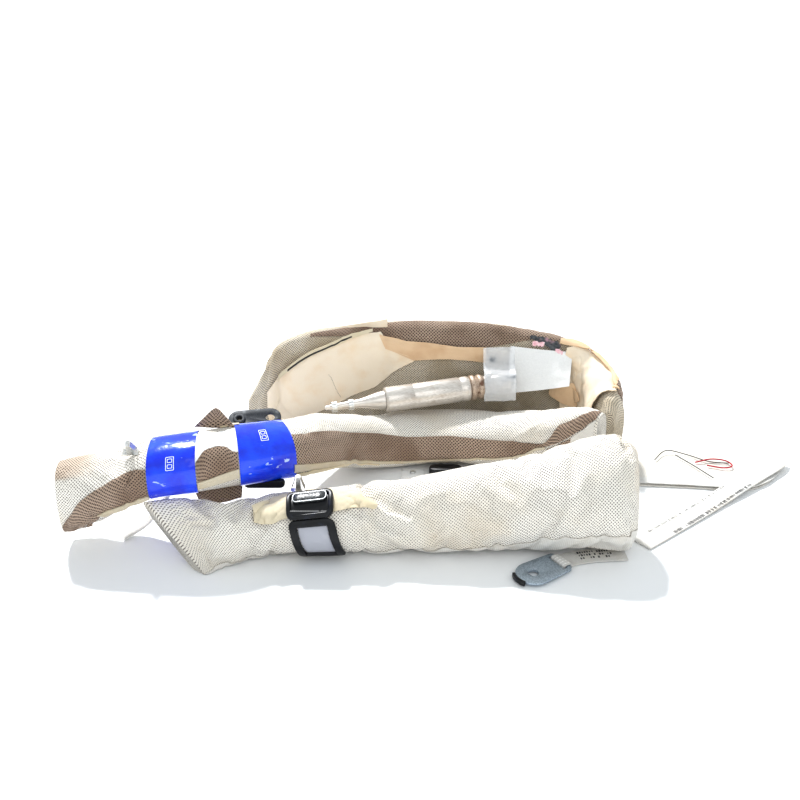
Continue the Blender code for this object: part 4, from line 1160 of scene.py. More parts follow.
spun("inflator_cap_turned", [
    (CAP_AT, 0.0058), (CAP_AT, 0.0112), (CAP_AT + 0.0010, CAP_R), (CAP_AT + 0.0090, CAP_R), (CAP_AT + 0.0096, 0.0120),
    (CAP_AT + 0.0106, 0.0120), (CAP_AT + 0.0112, CAP_R), (CAP_AT + CAP_LONG - 0.003, CAP_R),
    (CAP_AT + CAP_LONG - 0.0008, 0.0115), (CAP_AT + CAP_LONG, 0.0100), (CAP_AT + CAP_LONG, 0.0058)],
    TUBE, "tube_steel", "inflator_cap")
spun("gas_lance_swaged", [
    (-0.0004, 0.0100), (-0.0004, 0.0112), (-0.0040, 0.0110), (-0.0100, 0.0100), (-0.0160, 0.0086), (-0.0230, 0.0068),
    (-0.0300, 0.0054), (-0.0370, LANCE_R), (-0.0520, 0.0042), (-0.0640, 0.0034), (-0.0715, 0.0024), (-0.0720, 0.0014),
    (-0.0640, 0.0016), (-0.0370, 0.0036), (-0.0230, 0.0054), (-0.0100, 0.0088)],
    TUBE, "tube_steel", "gas_lance")
print("inflator spun:", round((CAP_AT + CAP_LONG) * 1000, 1), "mm from mouth to cap")

# %% [markdown]
# ## Retainer on the front run
# A moulded retainer holds the roll to the roof rail: a housing with a window, a hinge barrel and a frame of two
# legs that wraps under the roll. Its parts bend round the roll, so each is drawn flat, in metres across and up,
# and wrapped on the roll's form. One helper sweeps a rounded section round a closed loop.

# %% Retainer helpers
form_numbers = even_numbers(FRONT_RUN, 2 * MM)
front_form = Run(form_numbers, skin_points(FRONT_RUN, form_numbers, 270 + 3 * np.arange(120)))
RETAINER_X = -0.138 - ORIGIN[0]
HOUSING_LIFT = 3.0 * MM
LEG_LEAN = 13.0 * MM
LEG_TOP = 159  # degrees round the run
LEG_END = 241
DEGREES = np.arange(60, 271)
middle_number = np.interp(RETAINER_X, front_form.grid[:, 50, 0], front_form.numbers)
around = front_form.at(np.full(len(DEGREES), middle_number), DEGREES, HOUSING_LIFT)
ROUND_LENGTH = path_lengths(around)


def length_at(degrees):
    """Metres round the retainer's form, from its top, at an angle."""
    return float(np.interp(degrees, DEGREES, ROUND_LENGTH))


def wrap_front(x, degrees, lift):
    """Arrays of x from the retainer's middle, angle and lift, as points on the front run's form."""
    numbers = np.interp(RETAINER_X + x, front_form.grid[:, 50, 0], front_form.numbers)
    return front_form.at(numbers, degrees, lift)


def rounded_loop(half, low, high, radius, steps=7, point_gap=2.0 * MM):
    """A rounded rectangle, half wide each side, in metres across and up, as evenly spaced points."""
    corners = ((half - radius, high - radius, 0), (-half + radius, high - radius, 90),
               (-half + radius, low + radius, 180), (half - radius, low + radius, 270))
    found = []
    for x, y, start in corners:
        for k in range(steps + 1):
            angle = math.radians(start + 90 * k / steps)
            found.append((x + radius * math.cos(angle), y + radius * math.sin(angle)))
    found = np.array(found + found[:1])
    along = path_lengths(found)
    wanted = np.linspace(0, along[-1], int(along[-1] / point_gap) + 1)[:-1]
    return np.stack((np.interp(wanted, along, found[:, 0]), np.interp(wanted, along, found[:, 1])), -1)


def swept_loop(name, loop, section, wrap, material, body="root"):
    """A section of (side, height) pairs swept round a closed loop that a wrap lays on a surface."""
    ahead = unit(np.roll(loop, -1, axis=0) - np.roll(loop, 1, axis=0))
    out = np.stack((ahead[:, 1], -ahead[:, 0]), -1)
    section = np.array(section, float)
    flat = loop[:, None] + out[:, None] * section[None, :, :1]
    height = np.repeat(section[None, :, 1], len(loop), 0)
    points = wrap(flat[..., 0], flat[..., 1], height)
    rows, columns = height.shape
    faces = []
    for i in range(rows):
        for j in range(columns):
            k, n = (i + 1) % rows, (j + 1) % columns
            faces.append((i * columns + j, k * columns + j, k * columns + n, i * columns + n))
    piece = finish_mesh(name, points.reshape(-1, 3), faces, no_metres(faces), material, body)
    close_up(piece)
    return piece


def close_up(piece, merge=0.0):
    """Merges points nearer than merge metres and turns a closed mesh's faces out."""
    work = bmesh.new()
    work.from_mesh(piece.data)
    if merge:
        bmesh.ops.remove_doubles(work, verts=work.verts, dist=merge)
    bmesh.ops.recalc_face_normals(work, faces=work.faces)
    work.to_mesh(piece.data)
    work.free()


def rounded_pad(name, loop, thick, wrap, material, crown=0.0):
    """A thin pad with the outline of a loop: rings that step in towards its middle."""
    middle = loop.mean(axis=0)
    steps = ((0.0, 0.0), (0.02, 0.0), (1.0, 0.0), (1.0, thick * 0.6), (0.97, thick * 0.9), (0.93, thick),
             (0.6, thick + crown), (0.02, thick + crown), (0.0, thick + crown))
    rings = [wrap(*(middle + (loop - middle) * size).T, np.full(len(loop), height)) for size, height in steps]
    count = len(loop)
    faces = []
    for k in range(len(rings) - 1):
        for j in range(count):
            n = (j + 1) % count
            faces.append((k * count + j, k * count + n, (k + 1) * count + n, (k + 1) * count + j))
    piece = finish_mesh(name, np.concatenate(rings), faces, no_metres(faces), material, "root")
    close_up(piece, 0.00001)
    return piece


def bar_section(half, thick, base=0.0, edge=0.7 * MM):
    """A bar's cross-section with rounded upper edges."""
    return [(-half, base), (-half, base + thick - edge), (-half + edge * 0.3, base + thick - edge * 0.3),
            (-half + edge, base + thick), (half - edge, base + thick), (half - edge * 0.3, base + thick - edge * 0.3),
            (half, base + thick - edge), (half, base)]


def at_angle(middle, lean=0.0):
    """A wrap whose upward way starts at an angle of the roll and goes back over its top."""
    def wrap(across, up, height):
        degrees = np.interp(length_at(middle) - up, ROUND_LENGTH, DEGREES)
        shift = lean * np.clip((degrees - LEG_TOP) / (LEG_END - LEG_TOP), 0, 1.2)
        return wrap_front(across + shift, degrees, height)
    return wrap


def raised(wrap, lift):
    """The same wrap, lift metres higher."""
    return lambda across, up, height: wrap(across, up, height + lift)


# %% Retainer parts
BODY_MIDDLE = 131
half_body = (length_at(157) - length_at(105)) / 2
body_loop = rounded_loop(24.0 * MM, -half_body, half_body, 7.5 * MM)
housing_wrap = raised(at_angle(BODY_MIDDLE), HOUSING_LIFT)
housing = rounded_pad("retainer_housing_moulded", body_loop, 3.4 * MM, housing_wrap, NYLON)
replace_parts(housing, "retainer_housing")
rim_loop = rounded_loop(21.6 * MM, -half_body + 2.4 * MM, half_body - 2.4 * MM, 5.8 * MM)
swept_loop("retainer_housing_rim", rim_loop, bar_section(2.3 * MM, 3.4 * MM, 3.0 * MM, 1.1 * MM), housing_wrap, NYLON)
pad_wrap = raised(at_angle(120), HOUSING_LIFT)
pad_loop = rounded_loop(17.4 * MM, -5.6 * MM, 5.6 * MM, 4.0 * MM, point_gap=1.5 * MM)
pad = rounded_pad("window_pad_moulded", pad_loop, 6.0 * MM, pad_wrap, PAD, crown=0.5 * MM)
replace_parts(pad, "window_pad")
# A thin pale ring round the window pad: a painted highlight on its edge.
edge_loop = rounded_loop(17.0 * MM, -5.2 * MM, 5.2 * MM, 3.7 * MM, point_gap=1.5 * MM)
swept_loop("window_edge_worn", edge_loop, bar_section(0.55 * MM, 0.5 * MM, 5.8 * MM, 0.2 * MM), pad_wrap, HIGHLIGHT_RIM)
half_legs = (length_at(LEG_END) - length_at(LEG_TOP)) / 2
leg_middle = float(np.interp(length_at(LEG_TOP) + half_legs, ROUND_LENGTH, DEGREES))
legs_wrap = at_angle(leg_middle, LEG_LEAN)
leg_loop = rounded_loop(19.4 * MM, -half_legs + 3.6 * MM, half_legs - 3.6 * MM, 3.4 * MM)
legs = swept_loop("retainer_frame_moulded", leg_loop, bar_section(4.0 * MM, 3.0 * MM, 1.4 * MM, 1.0 * MM), legs_wrap,
                  NYLON, "retainer_legs")
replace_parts(legs, "retainer_frame")
lining_loop = rounded_loop(15.0 * MM, -half_legs + 7.0 * MM, half_legs - 7.0 * MM, 1.5 * MM)
lining = rounded_pad("frame_lining_cloth", lining_loop, 0.9 * MM, raised(legs_wrap, 0.4 * MM), LINING)
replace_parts(lining, "frame_lining")


BARREL_SIDES = 24


def barrel_rings(half, radius):
    """Rings along the hinge's axis, with a waist near the right end where the barrel's slit is."""
    turn = 2 * math.pi * np.arange(BARREL_SIDES) / BARREL_SIDES
    rings = []
    for x, size in ((-half, 0.0), (-half, 0.8), (-half + 0.6 * MM, 1.0), (0.55 * half, 1.0), (0.56 * half, 0.72),
                    (0.61 * half, 0.72), (0.62 * half, 1.0), (half - 0.6 * MM, 1.0), (half, 0.8), (half, 0.0)):
        wide = radius * size
        rings.append(np.stack((np.full(BARREL_SIDES, x), wide * np.cos(turn), wide * np.sin(turn)), -1))
    return np.array(rings)


hinge = next(joint for joint in frame["joints"] if joint["name"] == "retainer_hinge")
rings = barrel_rings(0.0195, 4.3 * MM) + np.array(hinge["pos_m"])
faces = tube_faces(len(rings), BARREL_SIDES, 1)
barrel = finish_mesh("hinge_barrel_moulded", rings.reshape(-1, 3), faces, no_metres(faces), NYLON, "root")
close_up(barrel)
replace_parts(barrel, "hinge_barrel")
left_tab = front_form.number_at_x(RETAINER_X - 0.057, 130)
right_tab = front_form.number_at_x(RETAINER_X + 0.068, 130)
tab_numbers = np.linspace(left_tab, right_tab, 7)
tab = panel("retainer_tab_cloth", front_run,
            list(zip(tab_numbers, (118, 98, 90, 88, 92, 104, 112))),
            list(zip(tab_numbers, (152, 160, 152, 150, 150, 146, 150))),
            1.2 * MM, 1.0 * MM, TAB_CLOTH, sag=soft_waves(12, 2.0 * MM, 0.02, 0.06))
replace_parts(tab, "retainer_tab")
declare_sheet(tab)
print("retainer spans", round(left_tab, 2), "to", round(right_tab, 2), "on the front run")

# %% [markdown]
# ## Tether and its webbing
# A stitched panel of white cloth leaves the right end. From its tip the strap folds back and goes under the roll,
# and comes out again as the webbing that is sewn round the anchor plate. Ribbons along smooth paths make the
# straps; the webbing crosses the plate's bend line and is not attached to any body.

# %% Tether panel and straps
def smooth_line(points, spacing):
    """Points on a smooth curve through a few given ones, about one spacing apart."""
    table = np.array(points, float)
    dense = through(table, np.linspace(0, len(table) - 1, 80 * len(table)))
    along = path_lengths(dense)
    wanted = np.linspace(0, along[-1], int(along[-1] / spacing) + 2)
    return np.stack([np.interp(wanted, along, dense[:, k]) for k in range(3)], -1)


RIBBON_BULGE = 0.25 * MM


def ribbon(name, points, width, thick, material, body="root", wave=0.0, seed=0, spacing=2.2 * MM):
    """A flat strap along its underside's middle line. A wave lifts it here and there."""
    line = smooth_line(points, spacing)
    across = unit(np.cross((0.0, 0.0, 1.0), np.gradient(line, axis=0)))
    places = np.linspace(-0.5, 0.5, max(7, int(width / spacing) + 1))
    under = line[:, None] + across[:, None] * (places * width)[None, :, None]
    along = arc_lengths(line, 0)
    lift = (1 + ripple(along[:, None], (places * width)[None], seed, 10, 0.012, 0.06)) * wave
    under[..., 2] += lift
    bulge = RIBBON_BULGE * np.sin(math.pi * (places + 0.5)) ** 0.5
    top = under + np.array((0.0, 0.0, thick))
    top[..., 2] += bulge
    return shell(name, top, under, material, body)


def laid_out(x, y, z):
    return np.array((x, y, z)) - ORIGIN


front_edge = smooth_line([laid_out(*p) for p in ((0.200, 0.016, 0), (0.290, 0.008, 0), (0.349, 0.002, 0),
                                                 (0.384, 0.022, 0), (0.4035, 0.055, 0))], 3 * MM)
back_edge = smooth_line([laid_out(*p) for p in ((0.200, 0.119, 0), (0.275, 0.115, 0), (0.324, 0.108, 0),
                                                (0.372, 0.090, 0), (0.399, 0.069, 0))], 3 * MM)
count = max(len(front_edge), len(back_edge))
share = np.linspace(0, 1, count)
front_edge = through(front_edge, share * (len(front_edge) - 1))
back_edge = through(back_edge, share * (len(back_edge) - 1))
across = np.linspace(0, 1, 40)
panel_grid = between(front_edge, back_edge, across)
u = arc_lengths(panel_grid, 0)
v = arc_lengths(panel_grid, 1)
crumple = ripple(u, v, 21, 26, 0.014, 0.09)
under = panel_grid.copy()
under[..., 2] = 0.3 * MM + (1 + crumple) * 1.3 * MM * np.sin(math.pi * across)[None]
top = under.copy()
top[..., 2] += 1.1 * MM
tether = shell("tether_panel_cloth", top, under, PANEL_CLOTH)
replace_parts(tether, "tether_panel")
declare_sheet(tether)

STRAP_PATH = [laid_out(0.4060, 0.0660, 0.0048), laid_out(0.394, 0.050, 0.0062), laid_out(0.345, 0.008, 0.0050),
              laid_out(0.312, -0.020, 0.0024), laid_out(0.270, -0.056, 0.0010), laid_out(0.210, -0.106, 0.0005)]
strap = ribbon("tether_strap_woven", STRAP_PATH, 0.024, 1.5 * MM, WEBBING)
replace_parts(strap, "tether_strap")
ribbon("tether_hem", front_edge[2:-2] + np.array((0, 0.0075, 0.0030)), 0.013, 0.9 * MM, WEBBING,
       wave=0.4 * MM, seed=6)

plate_turn = math.radians(34)
plate_way = np.array((math.cos(plate_turn), math.sin(plate_turn), 0.0))
plate_hole = laid_out(0.0901, -0.1613, 0.0020)
BAR_MIDDLE = 0.032 + 0.0045 / 2 + 0.005 / 2
LOOP_END = BAR_MIDDLE + 0.005 / 2 + 0.0012 + 0.0011
BEND_GAP = 1.6 * MM


def along_plate(ahead, height):
    return plate_hole * (1, 1, 0) + plate_way * ahead + np.array((0, 0, height))


webbing_path = [along_plate(LOOP_END - 0.0004, 0.0012), along_plate(LOOP_END + BEND_GAP + 0.0070, 0.0005),
                laid_out(0.1480, -0.1285, 0.0005), laid_out(0.168, -0.1260, 0.0005), laid_out(0.190, -0.1240, 0.0005)]
webbing = ribbon("anchor_webbing_woven", webbing_path, 0.022, 1.5 * MM, WEBBING, body=None, spacing=1.2 * MM)
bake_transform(webbing)
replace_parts(webbing, "anchor_webbing")


LOOP_POINTS = 48


def loop_ring(grow):
    """The side view of the webbing round the plate's bar: a flattened ring."""
    angle = 2 * math.pi * np.arange(LOOP_POINTS) / LOOP_POINTS
    x = np.sign(np.cos(angle)) * np.abs(np.cos(angle)) ** 0.6 * (0.0037 + grow)
    z = np.sign(np.sin(angle)) * np.abs(np.sin(angle)) ** 0.6 * (0.00165 + grow)
    return x, z


plate_side = np.array((-plate_way[1], plate_way[0], 0.0))
rows = []
for grow, half in ((0.0, -0.0108), (0.0011, -0.0110), (0.0014, -0.0100), (0.0014, 0.0), (0.0014, 0.0100),
                   (0.0011, 0.0110), (0.0, 0.0108)):
    x, z = loop_ring(grow)
    z = np.maximum(z + 0.0020 + 0.00125, 0.0002)
    rows.append(along_plate(0, 0) + plate_way * (BAR_MIDDLE + x)[:, None] + plate_side * half
                + np.stack((0 * z, 0 * z, z), -1))
rows = np.array(rows + rows[:1])
loop_faces = tube_faces(len(rows), rows.shape[1], 1)
loop_metres = []
for i in range(len(rows) - 1):
    for j in range(rows.shape[1]):
        loop_metres += [(i * 0.0037, j * 0.0004), ((i + 1) * 0.0037, j * 0.0004), ((i + 1) * 0.0037, (j + 1) * 0.0004),
                        (i * 0.0037, (j + 1) * 0.0004)]
webbing_loop = finish_mesh("webbing_loop_woven", rows.reshape(-1, 3), loop_faces, loop_metres, WEBBING, "anchor")
close_up(webbing_loop, 0.000001)
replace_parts(webbing_loop, "webbing_loop")

left_strap = ribbon("left_strap_woven", [laid_out(-0.288, -0.075, 0.048), laid_out(-0.300, -0.079, 0.032),
                                         laid_out(-0.317, -0.085, 0.013), laid_out(-0.340, -0.092, 0.0006)],
                    0.013, 1.2 * MM, WEBBING)
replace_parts(left_strap, "left_strap")
print("straps laid:", len(strap.data.polygons), "faces in the printed one")

# %% [markdown]
# ## Small cloth corners and the pouch
# A loose corner of taupe mesh stands up behind the tapes, a cream tab stands on the rear run, and a clear pouch
# with the label hangs over the inflator's cap.

# %% Corners and pouch
def corner_sheet(name, low_edge, high_edge, thick, way, material, bow, seed):
    """A small standing sheet between two edges, bowed along a direction."""
    steps = np.linspace(0, 1, 15)
    low = through(np.array(low_edge), steps * (len(low_edge) - 1))
    high = through(np.array(high_edge), steps * (len(high_edge) - 1))
    grid = between(low, high, steps)
    u = arc_lengths(grid, 0)
    v = arc_lengths(grid, 1)
    way = np.array(way, float)
    grid = grid + (ripple(u, v, seed, 8, 0.015, 0.05) * bow)[..., None] * way
    return shell(name, grid + way * thick, grid, material)


foot = np.mean(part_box("mesh_corner"), axis=0)
corner = corner_sheet("mesh_corner_loose",
                      [foot + (-0.021, 0.001, -0.012), foot + (0.0, 0.0, -0.012), foot + (0.023, -0.001, -0.012)],
                      [foot + (-0.0005, 0.001, 0.009), foot + (0.004, 0.0, 0.0115), foot + (0.0085, 0.0, 0.009)],
                      0.7 * MM, (0, -1, 0), BROWN_MESH, 1.2 * MM, 3)
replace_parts(corner, "mesh_corner")
low, high = (np.array(c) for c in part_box("cream_tab"))
tab = corner_sheet("cream_tab_cloth",
                   [low, ((low[0] + high[0]) / 2, low[1], low[2]), (high[0], low[1], low[2])],
                   [(low[0] + 0.004, low[1], low[2] + 0.001), (high[0] - 0.022, low[1], high[2] - 0.004),
                    (high[0], low[1], high[2])],
                   0.8 * MM, (0, 1, 0), COATED, 0.8 * MM, 5)
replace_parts(tab, "cream_tab")
for piece in (corner, tab):
    declare_sheet(piece)


def loose_flap(name, low_edge, high_edge, seed):
    return corner_sheet(name, low_edge, high_edge, 0.7 * MM, (0, -1, 0), BROWN_MESH, 1.5 * MM, seed)


loose_flap("mouth_lip_front", [(-0.397, -0.112, 0.033), (-0.383, -0.120, 0.026), (-0.370, -0.118, 0.028)],
           [(-0.399, -0.108, 0.042), (-0.383, -0.116, 0.040), (-0.368, -0.118, 0.044)], 2)
loose_flap("mouth_lip_inner", [(-0.367, -0.104, 0.038), (-0.354, -0.106, 0.036), (-0.341, -0.104, 0.041)],
           [(-0.368, -0.106, 0.050), (-0.354, -0.108, 0.053), (-0.340, -0.106, 0.054)], 6)
loose_flap("gap_flap_loose", [(-0.262, -0.096, 0.047), (-0.240, -0.096, 0.042), (-0.217, -0.090, 0.046)],
           [(-0.264, -0.100, 0.062), (-0.240, -0.098, 0.063), (-0.215, -0.090, 0.064)], 9)
panel("under_lip", middle_run,
      [(6.0, 205), (6.8, 205), (7.6, 206), (8.2, 203)], [(6.0, 219), (6.8, 216), (7.6, 210), (8.2, 205)],
      2.2 * MM, 1.0 * MM, TAB_CLOTH)


def upright(middle):
    """A wrap that stands up and faces the front: across, up and towards the viewer from a middle."""
    def wrap(across, up, height):
        across, up, height = np.broadcast_arrays(across, up, height)
        return np.stack((middle[0] + across, middle[1] - height, middle[2] + up), -1)
    return wrap


bar_loop = rounded_loop(21.5 * MM, -4.6 * MM, 4.6 * MM, 3.6 * MM)
rounded_pad("under_tape_clip", bar_loop, 5.0 * MM, upright((-0.193, -0.083, 0.0595)), NYLON,
            crown=0.3 * MM)

rivet_middle = np.mean(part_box("bracket_rivet"), axis=0)
strap_start = middle_run.at(np.array([4.9]), np.array([70.0]), 1.0 * MM)[0]
ribbon("bracket_strap", [strap_start, middle_run.at(np.array([4.9]), np.array([45.0]), 3.0 * MM)[0],
                         rivet_middle + (0.0, -0.008, -0.0040), rivet_middle + (0.0, 0.010, -0.0010)],
       0.020, 0.9 * MM, TAB_CLOTH)

SIDE_VIEW = [(0.1435, 0.116), (0.138, 0.101), (0.129, 0.0945), (0.116, 0.0915), (0.1075, 0.080), (0.1065, 0.062)]
left_line = smooth_line([laid_out(0.056, y, z) for y, z in SIDE_VIEW], 1.5 * MM)
right_line = smooth_line([laid_out(0.094, y, z + 0.001) for y, z in SIDE_VIEW], 1.5 * MM)
share = np.linspace(0, 1, len(left_line))
right_line = through(right_line, share * (len(right_line) - 1))
across = np.linspace(0, 1, 26)
grid = between(left_line, right_line, across)
crinkle = ripple(arc_lengths(grid, 0), arc_lengths(grid, 1), 31, 24, 0.006, 0.03) * 0.9 * MM
grid = grid + crinkle[..., None] * np.array((0.0, -0.55, 0.83))
panel("sticker_torn", rear_run,
      [(6.05, 116), (6.3, 113), (6.6, 112), (6.8, 116)], [(6.05, 122), (6.3, 126), (6.6, 134), (6.8, 122)],
      6.5 * MM, 0.3 * MM, CHARCOAL, fray=2.5, seed=6)
panel("marker_left", rear_run, [(6.1, 125), (6.35, 123)], [(6.1, 131), (6.35, 130)],
      9.0 * MM, 0.2 * MM, PINK, fray=1.2)
panel("marker_right", rear_run, [(6.65, 128), (6.9, 126)], [(6.65, 134), (6.9, 133)],
      9.6 * MM, 0.2 * MM, PINK, fray=1.2)
pouch = shell("label_pouch_film", grid + np.array((0, -0.0001, 0.0002)), grid, film)
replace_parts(pouch, "clear_film")
declare_sheet(pouch)

# %% [markdown]
# ## Stitches, ticks and printed marks
# Stitches and printed ticks repeat along lines, so a node tree makes them: it resamples a line at the spacing,
# puts one small shape on each point, and turns it along the line. The result is made a plain mesh.

# %% Rows of small shapes
def row_tree(name, material, is_round):
    """A node tree that sets a small shape along every line of its input mesh."""
    tree = bpy.data.node_groups.new(name, "GeometryNodeTree")
    tree.interface.new_socket("Geometry", in_out="INPUT", socket_type="NodeSocketGeometry")
    for title, kind in (("Spacing", "NodeSocketFloat"), ("Size", "NodeSocketVector"), ("Gaps", "NodeSocketFloat"),
                        ("Spread", "NodeSocketFloat"), ("Seed", "NodeSocketInt")):
        tree.interface.new_socket(title, in_out="INPUT", socket_type=kind)
    tree.interface.new_socket("Geometry", in_out="OUTPUT", socket_type="NodeSocketGeometry")
    given = tree.nodes.new("NodeGroupInput").outputs
    curve = add_node(tree, "GeometryNodeMeshToCurve", {"Mesh": given["Geometry"]}).outputs["Curve"]
    even = add_node(tree, "GeometryNodeResampleCurve", {"Curve": curve, "Length": given["Spacing"]}, mode="LENGTH")
    tangent = add_node(tree, "GeometryNodeInputTangent").outputs["Tangent"]
    along = add_node(tree, "FunctionNodeAlignRotationToVector", {"Vector": tangent}, axis="X").outputs["Rotation"]
    if is_round:
        shape = add_node(tree, "GeometryNodeMeshUVSphere", {"Segments": 8, "Rings": 5, "Radius": 0.5}).outputs["Mesh"]
    else:
        shape = add_node(tree, "GeometryNodeMeshCube", {"Size": (1.0, 1.0, 1.0)}).outputs["Mesh"]
    chance = add_node(tree, "FunctionNodeRandomValue", {"Probability": given["Gaps"], "Seed": given["Seed"]},
                      data_type="BOOLEAN").outputs[3]
    kept = add_node(tree, "FunctionNodeBooleanMath", {0: chance}, operation="NOT").outputs[0]
    stretch = add_node(tree, "FunctionNodeRandomValue", {2: 1.0, 3: given["Spread"], "Seed": given["Seed"]},
                       data_type="FLOAT").outputs[1]
    size = add_node(tree, "ShaderNodeVectorMath", {0: given["Size"], "Scale": stretch}, operation="SCALE")
    placed = add_node(tree, "GeometryNodeInstanceOnPoints",
                      {"Points": even.outputs["Curve"], "Selection": kept, "Instance": shape, "Rotation": along,
                       "Scale": size.outputs["Vector"]})
    real = add_node(tree, "GeometryNodeRealizeInstances", {"Geometry": placed.outputs["Instances"]})
    coloured = add_node(tree, "GeometryNodeSetMaterial", {"Geometry": real.outputs["Geometry"], "Material": material})
    tree.links.new(coloured.outputs["Geometry"], tree.nodes.new("NodeGroupOutput").inputs[0])
    return tree


def row_of(name, tree, lines, spacing, size, gaps=0.0, spread=1.0, seed=1):
    """Runs a row tree along polylines and returns the piece as a plain mesh."""
    points = np.concatenate(lines)
    edges = []
    start = 0
    for line in lines:
        edges += [(start + k, start + k + 1) for k in range(len(line) - 1)]
        start += len(line)
    mesh = bpy.data.meshes.new(name + "_lines")
    mesh.from_pydata(points.tolist(), edges, [])
    source = bpy.data.objects.new(name + "_lines", mesh)
    scene.collection.objects.link(source)
    modifier = source.modifiers.new("row", "NODES")
    modifier.node_group = tree
    wanted = {"Spacing": spacing, "Size": size, "Gaps": gaps, "Spread": spread, "Seed": seed}
    for item in tree.interface.items_tree:
        if item.item_type == "SOCKET" and item.in_out == "INPUT" and item.name in wanted:
            modifier[item.identifier] = wanted[item.name]
    evaluated = source.evaluated_get(bpy.context.evaluated_depsgraph_get())
    made = bpy.data.meshes.new_from_object(evaluated)
    bpy.data.objects.remove(source)
    made.name = name
    made.shade_smooth() if tree.name.startswith("round") else made.shade_flat()
    piece = bpy.data.objects.new(name, made)
    scene.collection.objects.link(piece)
    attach(piece, "root")
    return piece


def line_on(run, edge, lift, step=0.12):
    """A polyline on a run along a list of (station, angle)."""
    numbers = np.arange(edge[0][0], edge[-1][0], step)
    return run.at(numbers, edge_angles(edge, numbers), lift)


STITCH = row_tree("round_stitches", THREAD_CREAM, True)
DARK_STITCH = row_tree("round_dark_stitches", THREAD_DARK, True)
TICK = row_tree("flat_ticks", INK_BLACK, False)
HEM_TOP = GAP + 2.3 * MM
row_of("hem_stitches", STITCH, [
    line_on(middle_run, [(6.0, 186), (7.3, 199), (8.95, 196), (9.85, 193.5), (10.95, 191), (11.7, 188)], HEM_TOP),
    line_on(middle_run, [(1.4, 200), (1.8, 198), (2.45, 205), (2.95, 210)], HEM_TOP),
    line_on(middle_run, [(4.05, 192), (4.5, 186), (4.95, 181)], HEM_TOP)],
    3.4 * MM, (2.4 * MM, 0.7 * MM, 0.7 * MM))
row_of("flap_seam_stitches", DARK_STITCH, [
    line_on(rear_run, [(2.60, 148), (2.75, 158), (2.95, 176), (3.1, 196)], 4.4 * MM, 0.02)],
    2.2 * MM, (1.9 * MM, 0.35 * MM, 0.35 * MM))


def beside(points, offset, height, first=0.0, last=1.0):
    """A line beside a strap's path, offset metres to one side, over part of its length."""
    line = smooth_line(points, 2 * MM)
    side = unit(np.cross((0.0, 0.0, 1.0), np.gradient(line, axis=0)))
    moved = line + side * offset + np.array((0, 0, height))
    return moved[int(first * len(moved)):int(last * len(moved))]


row_of("strap_ticks_front", TICK, [beside(STRAP_PATH, 0.0092, 1.72 * MM, 0.30, 0.84)], 1.7 * MM,
       (1.0 * MM, 4.6 * MM, 0.30 * MM), gaps=0.20, spread=0.55, seed=3)
row_of("strap_ticks_back", TICK, [beside(STRAP_PATH, -0.0092, 1.72 * MM, 0.40, 0.92)], 2.4 * MM,
       (0.8 * MM, 3.6 * MM, 0.30 * MM), gaps=0.40, spread=0.5, seed=5)
row_of("webbing_ticks", TICK, [beside(webbing_path, side, 1.72 * MM, 0.28, 0.80) for side in (0.0065, 0.0015, -0.0035)],
       2.6 * MM, (1.9 * MM, 3.4 * MM, 0.30 * MM), gaps=0.22, spread=0.6, seed=8)

# %% [markdown]
# ## Threads
# A few loose sewing threads lie on the tether panel: two black ones in open arcs, and a red one that curls round on
# itself.

# %% Threads
THREAD_SIDES = 8


def thread(name, points, thick, material, end="bare"):
    """A loose thread: a round tube along a smooth line."""
    line = smooth_line(points, 2.0 * MM)
    ahead = unit(np.gradient(line, axis=0))
    side = unit(np.cross((0.0, 0.0, 1.0), ahead))
    up = np.cross(ahead, side)
    turn = 2 * math.pi * np.arange(THREAD_SIDES) / THREAD_SIDES
    round_it = np.cos(turn)[None, :, None] * side[:, None] + np.sin(turn)[None, :, None] * up[:, None]
    rings = line[:, None] + thick / 2 * round_it
    faces = tube_faces(len(line), THREAD_SIDES, 1) + tube_ends(len(line), THREAD_SIDES, 1)
    points = np.concatenate((rings.reshape(-1, 3), line[:1], line[-1:]))
    piece = finish_mesh(name, points, faces, no_metres(faces), material, "root")
    close_up(piece)
    length = float(arc_lengths(line, 0)[-1])
    print(name, "is", round(length * 1000), "mm long")
    return piece


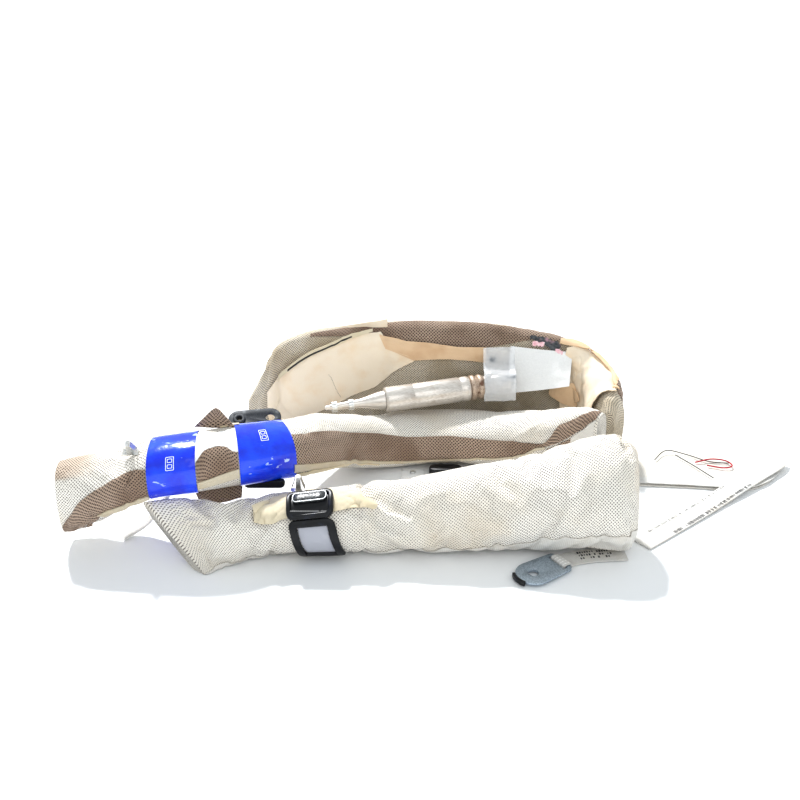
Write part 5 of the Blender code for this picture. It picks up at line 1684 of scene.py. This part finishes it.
SHEET_TOP = 4.6 * MM
thread("black_thread_upper", [laid_out(0.259, 0.066, SHEET_TOP), laid_out(0.276, 0.083, SHEET_TOP + 0.003),
                              laid_out(0.300, 0.076, SHEET_TOP + 0.001), laid_out(0.322, 0.062, SHEET_TOP),
                              laid_out(0.345, 0.058, SHEET_TOP)], 1.0 * MM, THREAD_DARK)
thread("black_thread_lower", [laid_out(0.285, 0.074, SHEET_TOP + 0.002), laid_out(0.302, 0.050, SHEET_TOP + 0.001),
                              laid_out(0.318, 0.022, SHEET_TOP + 0.001)], 1.0 * MM, THREAD_DARK)
thread("red_thread", [laid_out(0.306, 0.060, SHEET_TOP), laid_out(0.325, 0.064, SHEET_TOP + 0.002),
                      laid_out(0.342, 0.062, SHEET_TOP + 0.001), laid_out(0.347, 0.050, SHEET_TOP + 0.001),
                      laid_out(0.336, 0.047, SHEET_TOP), laid_out(0.318, 0.053, SHEET_TOP)],
       1.5 * MM, THREAD_RED, "knot")

# %% [markdown]
# ## Marks on the tape
# The tape carries small printed marks. They are drawn here as plain outlined boxes with a bar, standing a
# hair's breadth above the film.

# %% Printed marks
def on_middle(number, angle):
    """A wrap for small marks: metres along the run and up its front, from a station and an angle."""
    per_degree = 1 / middle_run.degrees(number, 1.0)
    spot = middle_run.at(np.array([number, number + 0.2]), np.array([angle, angle]))
    per_station = np.linalg.norm(spot[1] - spot[0]) / 0.2
    return lambda across, up, height: middle_run.at(number + across / per_station, angle - up / per_degree, height)


MARK = 1.8 * MM
for name, number, angle in (("mark_left", 3.5, 146), ("mark_right", 5.5, 112)):
    wrap = on_middle(number, angle)
    for part, half, low, high in (("box", 4.0, -7.5, 7.5), ("upper_bar", 2.3, 1.2, 5.2),
                                  ("lower_bar", 2.3, -5.2, -1.2)):
        loop = rounded_loop(half * MM, low * MM, high * MM, 0.3 * MM, 2, 0.7 * MM)
        swept_loop(name + "_" + part, loop, bar_section(0.42 * MM, 0.12 * MM, MARK, 0.04 * MM), wrap, INK_WHITE)

# %% [markdown]
# ## Finishes for the rest
# Parts that stay as the frame made them, most of them hidden inside, get the finish of their slot.

# %% Remaining parts
REST = {"sleeve_mesh": WHITE_MESH, "brown_mesh": BROWN_MESH, "coated_fabric": COATED, "webbing": WEBBING,
        "blue_tape": tape_film, "paper": paper_sheet, "clear_film": film, "zinc_steel": ZINC, "tube_steel": TUBE,
        "spring_steel": SPRING, "grey_steel": PHOSPHATE, "black_plastic": NYLON, "grey_foam": PAD}
for part in frame["record"]["subparts"]:
    painted(REST[part["material_slot"]], bpy.data.objects[part["node"]])
